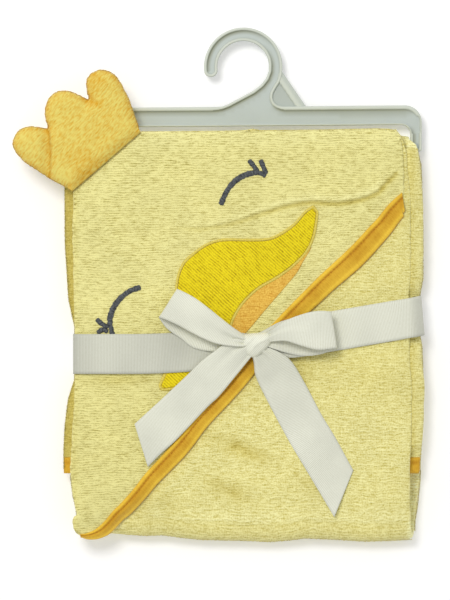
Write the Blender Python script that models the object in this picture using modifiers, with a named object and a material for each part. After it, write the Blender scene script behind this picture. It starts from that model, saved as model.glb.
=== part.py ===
"""Hooded baby towel, folded over a retail hanger and tied with a ribbon bow.

Metres, +Z up. The packet lies on its back on z = 0, the hanger's hook points to +Y, and the
hood faces up. Lengths in this file are written in millimetres and scaled when a mesh is made.
"""

import math

import bmesh
import bpy
from mathutils import Vector
from mathutils.geometry import delaunay_2d_cdt

MM = 0.001

# Heights of the folded towel's three levels, each three layers of terry.
BACK_TOP = 8.0
MIDDLE_LOW, MIDDLE_TOP = 8.4, 16.4
FRONT_LOW, FRONT_TOP = 16.8, 22.4
WIDE_LOW, WIDE_TOP = 11.8, 16.2
STACK_LEFT, STACK_RIGHT = -91.0, 122.5
HEM_Y = -110.3

# The hanger: a flat moulding with a round lower bar inside the towel's top fold.
HANGER_LOW, HANGER_TOP = 5.7, 10.7
BAR_Y, BAR_Z = 88.0, 8.2
BAR_RADIUS, BORE_RADIUS = 2.75, 3.1
HOOK_CENTRE = (15.8, 140.0)
HOOK_INNER, HOOK_OUTER = 16.5, 25.2

# The hood lies on the front level, and what is sewn on the hood lies on it.
HOOD_LOW, HOOD_TOP = 23.4, 25.4
TRIM_LOW = 25.7
BINDING_WIDTH = 11.0
SEAM_A, SEAM_B = (-49.5, 97.2), (-93.1, 59.5)

CROWN_Z = 25.0
CROWN_PUFF = 8.0
CROWN_EDGE = 12.0

RIBBON_WIDTH = 25.4
RIBBON_THICK = 0.6
BACK_RUN = ((-92.5, -44.3), (130.5, -19.7))
KNOT_CENTRE = (24.5, -38.5, 32.4)
KNOT_SIZE = (9.0, 7.2, 4.5)


def clear_scene():
    for obj in list(bpy.data.objects):
        bpy.data.objects.remove(obj)


def make_collection(name):
    made = bpy.data.collections.new(name)
    bpy.context.scene.collection.children.link(made)
    return made


def material(name, colour, roughness):
    made = bpy.data.materials.new(name)
    made.use_nodes = True
    shader = made.node_tree.nodes["Principled BSDF"]
    shader.inputs["Base Color"].default_value = (*colour, 1.0)
    shader.inputs["Roughness"].default_value = roughness
    shader.inputs["Metallic"].default_value = 0.0
    made.diffuse_color = (*colour, 1.0)
    return made


def arc(centre, radius, start, end, steps):
    """Points on an arc, angles in degrees, both ends included."""
    found = []
    for i in range(steps + 1):
        angle = math.radians(start + (end - start) * i / steps)
        found.append((centre[0] + radius * math.cos(angle), centre[1] + radius * math.sin(angle)))
    return found


def curve_through(points, steps):
    """A smooth open line through the points."""
    padded = [points[0], *points, points[-1]]
    found = []
    for k in range(len(points) - 1):
        a, b, c, d = padded[k : k + 4]
        for i in range(steps):
            t = i / steps
            found.append(
                tuple(
                    0.5
                    * (
                        2 * b[j]
                        + (c[j] - a[j]) * t
                        + (2 * a[j] - 5 * b[j] + 4 * c[j] - d[j]) * t * t
                        + (3 * b[j] - a[j] - 3 * c[j] + d[j]) * t**3
                    )
                    for j in range(len(b))
                )
            )
    found.append(tuple(points[-1]))
    return found


def offset_line(points, distance, closed=False):
    """The line moved sideways: to its right for a positive distance."""
    found = []
    count = len(points)
    for i, here in enumerate(points):
        before = points[i - 1] if closed or i else here
        after = points[(i + 1) % count] if closed or i < count - 1 else here
        along = Vector((after[0] - before[0], after[1] - before[1])).normalized()
        found.append((here[0] + along.y * distance, here[1] - along.x * distance))
    return found


def area_of(outline):
    total = 0.0
    for (x0, y0), (x1, y1) in zip(outline, [*outline[1:], outline[0]]):
        total += x0 * y1 - x1 * y0
    return total / 2


def anticlockwise(outline):
    return list(outline) if area_of(outline) > 0 else list(reversed(outline))


def object_from(name, points, faces, look, collection):
    """An object from points in millimetres."""
    mesh = bpy.data.meshes.new(name)
    mesh.from_pydata([(x * MM, y * MM, z * MM) for x, y, z in points], [], faces)
    mesh.update()
    made = bpy.data.objects.new(name, mesh)
    made.data.materials.append(look)
    collection.objects.link(made)
    return made


def prism(name, outline, low, high, look, collection):
    """A flat outline given thickness along Z."""
    outline = anticlockwise(outline)
    count = len(outline)
    points = [(x, y, low) for x, y in outline] + [(x, y, high) for x, y in outline]
    faces = [list(reversed(range(count))), list(range(count, 2 * count))]
    for i in range(count):
        j = (i + 1) % count
        faces.append([i, j, count + j, count + i])
    return object_from(name, points, faces, look, collection)


def cross_prism(name, section, left, right, look, collection):
    """A (y, z) section given length along X."""
    section = anticlockwise(section)
    count = len(section)
    points = [(left, y, z) for y, z in section] + [(right, y, z) for y, z in section]
    faces = [list(reversed(range(count))), list(range(count, 2 * count))]
    for i in range(count):
        j = (i + 1) % count
        faces.append([i, j, count + j, count + i])
    return object_from(name, points, faces, look, collection)


def ruled_strip(name, left, right, thickness, look, collection, closed=False):
    """A thin strip between two edge lines with as many points as each other."""
    count = len(left)
    left = [Vector(p) for p in left]
    right = [Vector(p) for p in right]
    middle = [(a + b) / 2 for a, b in zip(left, right)]
    points = []
    for i in range(count):
        before = middle[i - 1] if closed or i else middle[i]
        after = middle[(i + 1) % count] if closed or i < count - 1 else middle[i]
        up = (right[i] - left[i]).cross(after - before).normalized() * (thickness / 2)
        points += [left[i] + up, right[i] + up, right[i] - up, left[i] - up]
    faces = []
    for i in range(count if closed else count - 1):
        a, b = 4 * i, 4 * ((i + 1) % count)
        for k in range(4):
            m = (k + 1) % 4
            faces.append([a + k, a + m, b + m, b + k])
    if not closed:
        faces.append([3, 2, 1, 0])
        last = 4 * (count - 1)
        faces.append([last, last + 1, last + 2, last + 3])
    made = object_from(name, points, faces, look, collection)
    face_outwards(made)
    return made


def sweep(name, path, section, look, collection):
    """A section of (distance to the path's right, z) carried along an open path."""
    lines = [offset_line(path, distance) for distance, _ in section]
    count = len(section)
    points = []
    for i in range(len(path)):
        points += [(lines[k][i][0], lines[k][i][1], section[k][1]) for k in range(count)]
    faces = [list(range(count))]
    for i in range(len(path) - 1):
        a, b = count * i, count * (i + 1)
        for k in range(count):
            m = (k + 1) % count
            faces.append([a + k, b + k, b + m, a + m])
    last = count * (len(path) - 1)
    faces.append([last + k for k in reversed(range(count))])
    made = object_from(name, points, faces, look, collection)
    face_outwards(made)
    return made


def face_outwards(obj):
    work = bmesh.new()
    work.from_mesh(obj.data)
    bmesh.ops.recalc_face_normals(work, faces=work.faces)
    if work.calc_volume(signed=True) < 0:
        bmesh.ops.reverse_faces(work, faces=work.faces)
    work.to_mesh(obj.data)
    work.free()


def distance_inside(x, y, outline):
    """Distance to the outline, negative outside it."""
    here = Vector((x, y))
    nearest = math.inf
    inside = False
    for (x0, y0), (x1, y1) in zip(outline, [*outline[1:], outline[0]]):
        start, step = Vector((x0, y0)), Vector((x1 - x0, y1 - y0))
        share = max(0.0, min(1.0, (here - start).dot(step) / max(step.length_squared, 1e-9)))
        nearest = min(nearest, (here - start - step * share).length)
        if (y0 > y) != (y1 > y) and x < x0 + (y - y0) / (y1 - y0) * (x1 - x0):
            inside = not inside
    return nearest if inside else -nearest


def domed(name, outline, spacing, low, high, look, collection):
    """A closed body over an outline: low and high give its two faces' heights from the
    distance to the edge at each point."""
    outline = anticlockwise(outline)
    count = len(outline)
    flat = [Vector(p) for p in outline]
    for ring in (0.14, 0.5):
        inset = offset_line(outline, -ring * spacing, closed=True)
        flat += [Vector(p) for p in inset if distance_inside(*p, outline) > 0.12 * spacing]
    x_low, x_high = min(p[0] for p in outline), max(p[0] for p in outline)
    y_low, y_high = min(p[1] for p in outline), max(p[1] for p in outline)
    for row in range(int((y_high - y_low) / spacing) + 2):
        for column in range(int((x_high - x_low) / spacing) + 2):
            x = x_low + (column + 0.5 * (row % 2)) * spacing
            y = y_low + row * spacing
            if distance_inside(x, y, outline) > 0.85 * spacing:
                flat.append(Vector((x, y)))
    made = delaunay_2d_cdt(flat, [], [list(range(count))], 1, 1e-4)
    flat, triangles = made[0], made[2]
    depth = [max(0.0, distance_inside(p.x, p.y, outline)) for p in flat]
    depth = [0.0 if d < 0.02 else d for d in depth]
    size = len(flat)
    points = [(p.x, p.y, low(p.x, p.y, d)) for p, d in zip(flat, depth)]
    points += [(p.x, p.y, high(p.x, p.y, d)) for p, d in zip(flat, depth)]
    faces = [list(reversed(t)) for t in triangles]
    faces += [[size + i for i in t] for t in triangles]
    edges = {}
    for t in triangles:
        for i in range(3):
            pair = (t[i], t[(i + 1) % 3])
            edges[pair] = edges.get(pair, 0) + 1
    for a, b in edges:
        if (b, a) not in edges:
            faces.append([a, b, size + b, size + a])
    body = object_from(name, points, faces, look, collection)
    face_outwards(body)
    return body


def boolean(obj, operation, other):
    other.hide_render = True
    other.display_type = "WIRE"
    change = obj.modifiers.new(operation.lower() + "_" + other.name, "BOOLEAN")
    change.operation = operation
    change.object = other
    change.solver = "EXACT"


def soften(obj, width, segments=2, angle=50):
    change = obj.modifiers.new("soft_edge", "BEVEL")
    change.width = width * MM
    change.segments = segments
    change.limit_method = "ANGLE"
    change.angle_limit = math.radians(angle)


def shade_smooth(obj):
    for face in obj.data.polygons:
        face.use_smooth = True


def box_outline(x0, x1, y0, y1):
    return [(x0, y0), (x1, y0), (x1, y1), (x0, y1)]


# ---------------------------------------------------------------- towel sheet


def towel_sheet(look, nodes, helpers):
    """The one terry sheet: its front level, round the bottom to the back level, up and over
    the hanger's bar to the middle level, whose hem edge ends between the other two."""
    slit = (MIDDLE_LOW - BACK_TOP) / 2
    reach = math.sqrt(BORE_RADIUS**2 - slit**2)
    slit_angle = math.degrees(math.asin(slit / BORE_RADIUS))
    section = arc((95.2, 19.6), 2.8, 90, -90, 8)
    section += [(-121.8, FRONT_LOW), (-121.8, BACK_TOP), (BAR_Y - reach, BACK_TOP)]
    section += arc((BAR_Y, BAR_Z), BORE_RADIUS, -180 + slit_angle, 180 - slit_angle, 20)[1:]
    section += [(-108.0, MIDDLE_LOW), (-108.0, MIDDLE_TOP)]
    section += arc((BAR_Y, MIDDLE_TOP / 2), MIDDLE_TOP / 2, 90, -90, 14)
    low_fold = arc((0, 0), 1.0, 270, 90, 14)
    section += [(-152 + 11.5 * y, 11.2 + 11.2 * z) for y, z in low_fold]
    sheet = cross_prism("towel_sheet", section, STACK_LEFT, STACK_RIGHT, look, nodes)

    left_edge = [
        (-98.6, 90), (-98.8, 60), (-98.6, 26), (-96.3, -8), (-91.8, -26), (-91.8, -62),
        (-94.4, -66), (-96.8, -74), (-98.8, -90), (-99.5, -106), (-99.5, HEM_Y),
    ]
    right_edge = [
        (129.6, HEM_Y), (130.4, -97), (131.2, -83), (131.4, -61), (131.0, -40), (129.6, -34),
        (129.6, -5), (131.2, 4), (131.2, 30), (130.6, 57), (129.6, 82), (125.0, 93), (118.0, 94.2),
    ]
    wide = prism(
        "wide_level",
        left_edge + right_edge + [(-92.0, 94.2)],
        WIDE_LOW,
        WIDE_TOP,
        look,
        helpers,
    )
    soften(wide, 1.6)
    boolean(sheet, "UNION", wide)
    tongue = prism(
        "hem_tongue", box_outline(-98.4, 128.6, -118.4, HEM_Y + 3), 12.9, 15.1, look, helpers
    )
    boolean(sheet, "UNION", tongue)

    flare_left = [(-90.0, -64), (-94.2, -84), (-95.6, -108), (-94.6, -122), (-92.9, -135), (-90.5, -143)]
    flare_right = [
        (124.2, -161), (126.5, -151), (127.9, -142), (129.6, -128), (130.2, -115), (130.0, -98),
        (128.6, -80), (125.5, -64), (121.5, -52),
    ]
    flare = prism(
        "back_flare", flare_left + [(-90.5, -161)] + flare_right, 1.6, 7.4, look, helpers
    )
    soften(flare, 1.8)
    boolean(sheet, "UNION", flare)

    seam = Vector(SEAM_B) - Vector(SEAM_A)
    seam.normalize()
    inward = Vector((-seam.y, seam.x)) * 0.4
    first = Vector(SEAM_A) - seam * 30 + inward
    second = Vector(SEAM_B) + seam * 30 + inward
    away = Vector((seam.y, -seam.x)) * 60
    corner = prism(
        "corner_cut",
        [tuple(first), tuple(second), tuple(second + away), tuple(first + away)],
        (MIDDLE_TOP + FRONT_LOW) / 2,
        FRONT_TOP + 5,
        look,
        helpers,
    )
    boolean(sheet, "DIFFERENCE", corner)

    run = Vector(BACK_RUN[1]) - Vector(BACK_RUN[0])
    run.normalize()
    half = Vector((-run.y, run.x)) * (RIBBON_WIDTH / 2 + 1.0)
    start = Vector(BACK_RUN[0]) - run * 12
    end = Vector(BACK_RUN[1]) + run * 12
    groove = prism(
        "ribbon_groove",
        [tuple(start - half), tuple(end - half), tuple(end + half), tuple(start + half)],
        -2.0,
        1.3,
        look,
        helpers,
    )
    boolean(sheet, "DIFFERENCE", groove)
    for side, x0, x1 in (("left", -110.0, STACK_LEFT + 2.2), ("right", STACK_RIGHT - 2.2, 140.0)):
        for level, z in (("back", 2.7), ("back_upper", 5.3), ("front", 18.6), ("front_upper", 20.5)):
            parting = prism(
                f"parting_{side}_{level}",
                box_outline(x0, x1, -190.0, 120.0),
                z - 0.2,
                z + 0.2,
                look,
                helpers,
            )
            boolean(sheet, "DIFFERENCE", parting)
    return sheet


def hem_binding(look, nodes):
    """The folded tape over the middle level's hem edge."""
    section = [
        (-110.6, 11.9), (-120.4, 11.9), (-121.0, 12.6), (-121.0, 15.7), (-120.4, 16.4),
        (-110.6, 16.4), (-110.6, 15.6), (-118.9, 15.6), (-118.9, 12.5), (-110.6, 12.5),
    ]
    return cross_prism("rear_hem_binding", section, -99.3, 129.7, look, nodes)


# ---------------------------------------------------------------- hood


HOOD_EDGE = [
    (117.1, 58.9), (101.5, 41.5), (85.0, 24.2), (51.4, -9.9), (12.5, -54.2), (-26.3, -98.4),
    (-50.8, -126.1), (-71.2, -146.5), (-79.4, -154.0),
]


def hood_panel(look, nodes):
    under_binding = offset_line(list(reversed(HOOD_EDGE)), 8.4)
    outline = list(under_binding)
    outline[0] = (-78.0, -160.2)
    outline[-1] = (118.0, 50.6)
    outline += [(118.4, 70.0), (117.6, 91.0), (113.8, 97.3), (-49.8, 97.3)]
    outline += [(-92.9, 60.0), (-92.9, 20.0), (-92.4, -18.0), (-91.8, -28.0), (-91.8, -60.0)]
    outline += [(-92.3, -90.0), (-92.3, -130.0), (-91.6, -144.0), (-92.8, -151.0), (-88.6, -157.6)]
    panel = prism("hood_panel", outline, HOOD_LOW, HOOD_TOP, look, nodes)
    soften(panel, 0.7)
    return panel


def hood_binding(look, nodes):
    """Tape folded over the hood's long edge: both legs and the turned edge between."""
    path = list(reversed(HOOD_EDGE))
    outer = BINDING_WIDTH
    section = [
        (0.0, 25.7), (0.0, 26.4), (outer - 1.0, 26.4), (outer, 25.6), (outer, 23.4),
        (outer - 1.0, 22.7), (0.0, 22.7), (0.0, 23.1), (outer - 1.6, 23.1), (outer - 1.6, 25.7),
    ]
    return sweep("hood_binding", path, section, look, nodes)


UPPER_BILL_BACK = [
    (60.4, 49.6), (55.0, 45.9), (48.2, 38.2), (39.6, 32.2), (31.0, 28.8), (18.1, 28.4),
    (2.7, 28.4), (-7.5, 25.4), (-16.1, 19.4), (-22.9, 12.5), (-26.4, 2.2), (-26.7, -9.9),
    (-24.7, -22.7), (-24.7, -35.5), (-28.6, -47.0), (-34.3, -57.3), (-37.5, -64.5),
]
UPPER_BILL_FRONT = [
    (-36.3, -66.8), (-32.4, -66.9), (-21.5, -64.9), (-11.3, -60.4), (-2.3, -49.6),
    (4.7, -36.8), (8.7, -23.5), (12.2, -16.6), (17.3, -9.8), (25.9, -2.1), (37.9, 4.8),
    (48.2, 12.5), (56.7, 21.9), (61.0, 32.2), (62.8, 43.4), (62.9, 46.4),
]
LOWER_BILL_EDGE = [
    (59.6, 24.0), (54.2, 15.0), (49.9, 7.4), (42.1, -2.1), (31.0, -14.9), (22.4, -25.2),
    (16.5, -32.0), (10.5, -38.7), (2.1, -47.0), (-7.0, -55.6),
]
STITCH_WIDTH = 1.4


def bill(look_upper, look_lower, look_stitch, nodes):
    outline = curve_through(UPPER_BILL_BACK, 3) + curve_through(UPPER_BILL_FRONT, 3)
    outline = anticlockwise(outline)
    inner = offset_line(outline, -STITCH_WIDTH / 2 - 0.3, closed=True)
    upper = prism("bill_upper", inner, TRIM_LOW, TRIM_LOW + 0.9, look_upper, nodes)
    ring_out = offset_line(outline, STITCH_WIDTH / 2, closed=True)
    ring_in = offset_line(outline, -STITCH_WIDTH / 2, closed=True)
    height = TRIM_LOW + 0.5
    ruled_strip(
        "bill_outline_stitch",
        [(x, y, height) for x, y in ring_in],
        [(x, y, height) for x, y in ring_out],
        0.9,
        look_stitch,
        nodes,
        closed=True,
    )
    shared = offset_line(curve_through(UPPER_BILL_FRONT[3:-3], 3), STITCH_WIDTH / 2 + 0.3)
    far = curve_through(LOWER_BILL_EDGE, 3)
    lower_outline = shared[1:] + far
    lower = prism("bill_lower", lower_outline, TRIM_LOW, TRIM_LOW + 0.6, look_lower, nodes)
    return upper, lower


EYE_LINES = {
    "eye_right_lid": [
        (1.8, 51.4), (3.9, 57.2), (7.2, 63.1), (11.6, 67.2), (16.0, 69.7), (21.1, 71.0),
        (25.6, 71.0), (30.3, 70.3),
    ],
    "eye_right_lash_outer": [(27.0, 79.6), (28.6, 76.3), (29.6, 73.3)],
    "eye_right_lash_inner": [(18.6, 80.0), (20.6, 77.0), (22.0, 74.0)],
    "eye_left_lid": [
        (-50.5, -1.8), (-58.5, -5.0), (-64.8, -10.3), (-68.5, -16.2), (-69.0, -22.6),
        (-68.6, -29.0),
    ],
    "eye_left_lash_outer": [(-77.8, -28.6), (-74.5, -28.9), (-71.8, -29.0)],
    "eye_left_lash_inner": [(-78.0, -20.4), (-75.0, -21.6), (-72.2, -22.4)],
}


def embroidered_line(name, points, look, nodes):
    """A satin-stitched line, tapered at its ends."""
    line = curve_through(points, 4)
    count = len(line)
    left, right = [], []
    for i, (there, back) in enumerate(zip(offset_line(line, 1.0), line)):
        share = i / (count - 1)
        half = 1.75 * min(1.0, 0.55 + 3.0 * min(share, 1 - share))
        side = Vector((there[0] - back[0], there[1] - back[1])) * half
        left.append((back[0] + side.x, back[1] + side.y, TRIM_LOW + 0.45))
        right.append((back[0] - side.x, back[1] - side.y, TRIM_LOW + 0.45))
    return ruled_strip(name, left, right, 0.9, look, nodes)


# ---------------------------------------------------------------- crown


CROWN_OUTLINE = [
    (-50.2, 97.6), (-56.4, 115.1), (-63.8, 131.6), (-69.5, 136.0), (-75.3, 137.1),
    (-81.1, 135.1), (-84.9, 129.0), (-84.6, 122.6), (-82.6, 117.9), (-84.6, 119.0),
    (-90.0, 121.6), (-99.0, 123.6), (-105.4, 121.3), (-109.9, 116.2), (-110.6, 110.4),
    (-109.5, 104.0), (-106.6, 99.7), (-108.8, 100.0), (-114.3, 100.6), (-121.6, 100.8),
    (-128.4, 97.6), (-131.7, 90.6), (-130.7, 86.1), (-128.4, 81.6), (-124.3, 77.4),
    (-115.6, 72.4), (-107.9, 67.8), (-93.7, 60.0),
]
CROWN_VALLEYS = [((-82.6, 117.9), (-72.5, 78.5)), ((-106.6, 99.7), (-86.5, 67.5))]
PANEL_THICK = 1.2


def distance_to_line(x, y, a, b):
    here, start = Vector((x, y)), Vector(a)
    step = Vector(b) - start
    share = max(0.0, min(1.0, (here - start).dot(step) / step.length_squared))
    return (here - start - step * share).length


def crown_puff(x, y, depth):
    """Height of the plush above the crown's middle plane, with a dip along each seam that
    separates the lobes."""
    share = min(1.0, depth / CROWN_EDGE)
    height = CROWN_PUFF * math.sqrt(max(0.0, 1.0 - (1.0 - share) ** 2))
    for a, b in CROWN_VALLEYS:
        near = distance_to_line(x, y, a, b)
        height *= 1.0 - 0.35 * math.exp(-((near / 5.0) ** 2))
    return height


def crown(look_front, look_back, look_fill, nodes):
    outline = curve_through(CROWN_OUTLINE, 2)
    outline = anticlockwise(outline)

    def shell_out(x, y, d):
        return max(PANEL_THICK, crown_puff(x, y, d))

    def shell_in(x, y, d):
        return max(0.15, crown_puff(x, y, d) - PANEL_THICK)

    domed(
        "crown_front_panel",
        outline,
        5.0,
        lambda x, y, d: CROWN_Z + shell_in(x, y, d),
        lambda x, y, d: CROWN_Z + shell_out(x, y, d),
        look_front,
        nodes,
    )
    domed(
        "crown_back_panel",
        outline,
        5.0,
        lambda x, y, d: CROWN_Z - shell_out(x, y, d),
        lambda x, y, d: CROWN_Z - shell_in(x, y, d),
        look_back,
        nodes,
    )
    fill_outline = offset_line(outline, -3.2, closed=True)
    kept = [p for p in fill_outline if distance_inside(*p, outline) > 2.9]

    def fill_height(x, y):
        depth = distance_inside(x, y, outline)
        return max(0.4, crown_puff(x, y, depth) - PANEL_THICK - 1.9)

    domed(
        "crown_filling",
        kept,
        6.0,
        lambda x, y, d: CROWN_Z - fill_height(x, y),
        lambda x, y, d: CROWN_Z + fill_height(x, y),
        look_fill,
        nodes,
    )


# ---------------------------------------------------------------- ribbon


BAND_PATH = [
    (-92.6, -44.3, 12.0), (-92.7, -44.3, 21.5), (-92.5, -44.3, 25.0), (-91.3, -44.3, 26.4),
    (-88.5, -44.3, 27.1), (-80.0, -44.3, 27.25), (-40.0, -44.0, 27.25), (0.0, -41.4, 27.25),
    (24.5, -38.0, 27.25), (45.0, -34.6, 27.25), (58.0, -32.4, 26.8), (66.0, -31.0, 25.0),
    (74.0, -29.6, 23.4), (84.0, -27.9, 23.1), (119.0, -21.9, 23.1), (123.6, -21.1, 23.0),
    (127.0, -20.5, 20.9), (130.0, -19.9, 17.6), (130.7, -19.7, 15.0), (130.5, -19.7, 11.0),
    (128.2, -20.0, 5.6), (125.6, -20.3, 2.0), (123.2, -20.5, 0.75), (117.0, -21.2, 0.65),
    (60.0, -27.5, 0.65), (0.0, -34.1, 0.65), (-84.0, -43.4, 0.65), (-91.2, -44.2, 0.65),
    (-92.3, -44.3, 1.9), (-92.6, -44.3, 5.0),
]


def ribbon_band(look, nodes):
    count = len(BAND_PATH)
    left, right = [], []
    for i, (x, y, z) in enumerate(BAND_PATH):
        before, after = BAND_PATH[i - 1], BAND_PATH[(i + 1) % count]
        along = Vector((after[0] - before[0], after[1] - before[1], 0.0))
        if -80.0 < x < 112.0:
            side = Vector((-along.y, along.x, 0.0)) * (1.0 if along.x > 0 else -1.0)
        else:
            side = Vector((0.0, 1.0, 0.0))
        side = side.normalized() * (RIBBON_WIDTH / 2)
        left.append(Vector((x, y, z)) - side)
        right.append(Vector((x, y, z)) + side)
    return ruled_strip("ribbon_band", left, right, RIBBON_THICK, look, nodes, closed=True)


def ribbon_knot(look, nodes):
    """A rounded, slightly squared wrap."""
    rings, around = 9, 20
    points = [(KNOT_CENTRE[0], KNOT_CENTRE[1], KNOT_CENTRE[2] - KNOT_SIZE[2])]
    for i in range(1, rings):
        tilt = math.pi * (i / rings - 0.5)
        for k in range(around):
            turn = 2 * math.pi * k / around
            level, out = math.sin(tilt), math.cos(tilt) ** 0.7
            points.append(
                (
                    KNOT_CENTRE[0] + KNOT_SIZE[0] * out * math.cos(turn),
                    KNOT_CENTRE[1] + KNOT_SIZE[1] * out * math.sin(turn),
                    KNOT_CENTRE[2] + KNOT_SIZE[2] * level,
                )
            )
    points.append((KNOT_CENTRE[0], KNOT_CENTRE[1], KNOT_CENTRE[2] + KNOT_SIZE[2]))
    faces = [[0, 1 + (k + 1) % around, 1 + k] for k in range(around)]
    for i in range(rings - 2):
        for k in range(around):
            a, b = 1 + i * around + k, 1 + i * around + (k + 1) % around
            faces.append([a, b, b + around, a + around])
    last, start = len(points) - 1, 1 + (rings - 2) * around
    faces += [[last, start + k, start + (k + 1) % around] for k in range(around)]
    knot = object_from("ribbon_knot", points, faces, look, nodes)
    face_outwards(knot)
    shade_smooth(knot)
    return knot


LOOP_LEFT = {
    "lower": [(12.6, -41.0, 29.0), (-3.7, -43.2, 28.4), (-14.8, -40.8, 28.2), (-24.0, -35.0, 28.4),
              (-32.0, -28.5, 29.4), (-37.4, -21.4, 31.5), (-36.8, -20.6, 34.5), (-26.8, -25.4, 37.0),
              (-15.6, -31.4, 38.0), (-2.0, -38.6, 37.2), (12.9, -40.4, 35.0)],
    "upper": [(14.8, -33.4, 29.0), (2.0, -27.0, 28.4), (-8.0, -21.0, 28.2), (-16.0, -15.5, 28.4),
              (-22.0, -9.5, 29.4), (-25.8, -5.0, 31.5), (-25.4, -3.8, 34.5), (-15.6, -8.2, 37.0),
              (-6.0, -15.2, 38.0), (5.0, -24.2, 37.2), (15.4, -32.6, 35.0)],
}
LOOP_RIGHT = {
    "lower": [(34.6, -40.2, 29.0), (42.0, -42.8, 28.4), (50.3, -44.9, 28.2), (58.0, -45.3, 28.4),
              (66.0, -44.2, 29.4), (72.6, -42.0, 31.5), (74.2, -40.8, 34.5), (63.2, -41.4, 37.0),
              (52.0, -38.8, 38.0), (42.0, -37.4, 37.2), (34.8, -39.4, 35.0)],
    "upper": [(34.6, -33.2, 29.0), (41.6, -27.4, 28.4), (48.6, -23.4, 28.2), (55.6, -21.0, 28.4),
              (62.4, -19.6, 29.4), (68.4, -18.4, 31.5), (70.6, -17.6, 34.5), (63.5, -17.1, 37.0),
              (54.6, -18.5, 38.0), (42.6, -23.2, 37.2), (34.9, -31.0, 35.0)],
}
TAIL_LEFT = {
    "lower": [(20.0, -47.2, 28.6), (14.0, -54.6, 28.4), (0.6, -70.8, 28.2), (-7.1, -78.5, 27.8),
              (-26.3, -98.4, 27.2), (-38.0, -108.5, 27.2), (-45.1, -116.3, 27.2)],
    "upper": [(14.2, -42.0, 28.6), (3.0, -45.6, 28.4), (-13.0, -52.4, 28.3), (-20.5, -58.8, 27.9),
              (-36.0, -72.6, 27.2), (-45.0, -81.0, 27.2), (-53.6, -89.0, 27.2)],
}
TAIL_RIGHT = {
    "lower": [(23.4, -47.9, 28.6), (23.4, -57.1, 28.2), (28.9, -69.9, 24.6), (39.8, -90.7, 23.1),
              (47.8, -105.0, 23.1), (56.0, -118.6, 23.1), (73.9, -148.6, 23.1)],
    "upper": [(32.4, -43.5, 28.6), (40.6, -47.4, 28.2), (53.0, -60.5, 24.6), (65.0, -81.8, 23.1),
              (70.8, -91.4, 23.1), (75.7, -99.7, 23.1), (86.0, -118.6, 23.1)],
}


def ribbon_piece(name, edges, look, nodes):
    left = curve_through(edges["lower"], 3)
    right = curve_through(edges["upper"], 3)
    piece = ruled_strip(name, left, right, RIBBON_THICK, look, nodes)
    shade_smooth(piece)
    return piece


# ---------------------------------------------------------------- hanger


def hanger(look, nodes, helpers):
    """One moulding: channel-section top bar with side arms, a round lower bar, and a hook
    whose stem is braced on one side."""
    frame_outline = [(-98.9, 85.6), (-98.9, 103.5)]
    frame_outline += arc((-87.9, 103.5), 11.0, 180, 90, 8)
    frame_outline += arc((119.5, 103.9), 11.0, 90, 0, 8)
    frame_outline += [(130.5, 85.6), (129.3, 84.6), (124.3, 84.6), (123.1, 85.6)]
    frame_outline += arc((117.1, 96.2), 6.0, 0, 90, 6)
    frame_outline += arc((-85.6, 96.2), 6.0, 90, 180, 6)
    frame_outline += [(-91.6, 85.6), (-92.8, 84.6), (-97.7, 84.6)]
    body = prism("hanger", frame_outline, HANGER_LOW, HANGER_TOP, look, nodes)
    soften(body, 0.8)

    tip = math.radians(195)
    middle = (HOOK_INNER + HOOK_OUTER) / 2
    tip_centre = (
        HOOK_CENTRE[0] + middle * math.cos(tip),
        HOOK_CENTRE[1] + middle * math.sin(tip),
    )
    hook_outline = arc(tip_centre, (HOOK_OUTER - HOOK_INNER) / 2, 375, 200, 8)
    hook_outline += arc(HOOK_CENTRE, HOOK_OUTER, 194, 0, 32)
    hook_outline += [(40.9, 135.0), (39.7, 130.0), (37.4, 125.8), (35.0, 122.0), (34.6, 118.5)]
    hook_outline += [(36.0, 115.6), (38.7, 113.7), (38.7, 108.0), (5.0, 108.0), (5.0, 112.7)]
    hook_outline += [(12.0, 115.8), (20.0, 120.4), (26.5, 126.0), (30.4, 132.0)]
    hook_outline += arc(HOOK_CENTRE, HOOK_INNER, 0, 190, 26)
    hook = prism("hook_and_stem", hook_outline, HANGER_LOW, HANGER_TOP - 0.05, look, helpers)
    soften(hook, 1.0)
    boolean(body, "UNION", hook)

    web = prism(
        "brace_web",
        [(36.0, 124.5), (39.0, 131.5), (41.5, 132.0), (52.0, 109.0), (33.5, 109.0)],
        7.3,
        9.1,
        look,
        helpers,
    )
    boolean(body, "UNION", web)
    flange = prism(
        "brace_flange",
        [(41.0, 136.2), (55.9, 113.2), (55.9, 108.6), (48.6, 108.6), (48.5, 114.0), (38.6, 131.4)],
        HANGER_LOW + 0.1,
        HANGER_TOP - 0.1,
        look,
        helpers,
    )
    boolean(body, "UNION", flange)

    bar_section = arc((BAR_Y, BAR_Z), BAR_RADIUS, 0, 345, 23)
    bar = cross_prism("lower_bar", bar_section, -95.5, 127.0, look, helpers)
    boolean(body, "UNION", bar)
    for side, low, high in (("front", 9.2, 14.0), ("back", 2.0, 7.2)):
        channel = prism(
            "channel_" + side, box_outline(-86.0, 117.5, 104.0, 112.4), low, high, look, helpers
        )
        boolean(body, "DIFFERENCE", channel)
    return body


# ---------------------------------------------------------------- whole object


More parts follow.
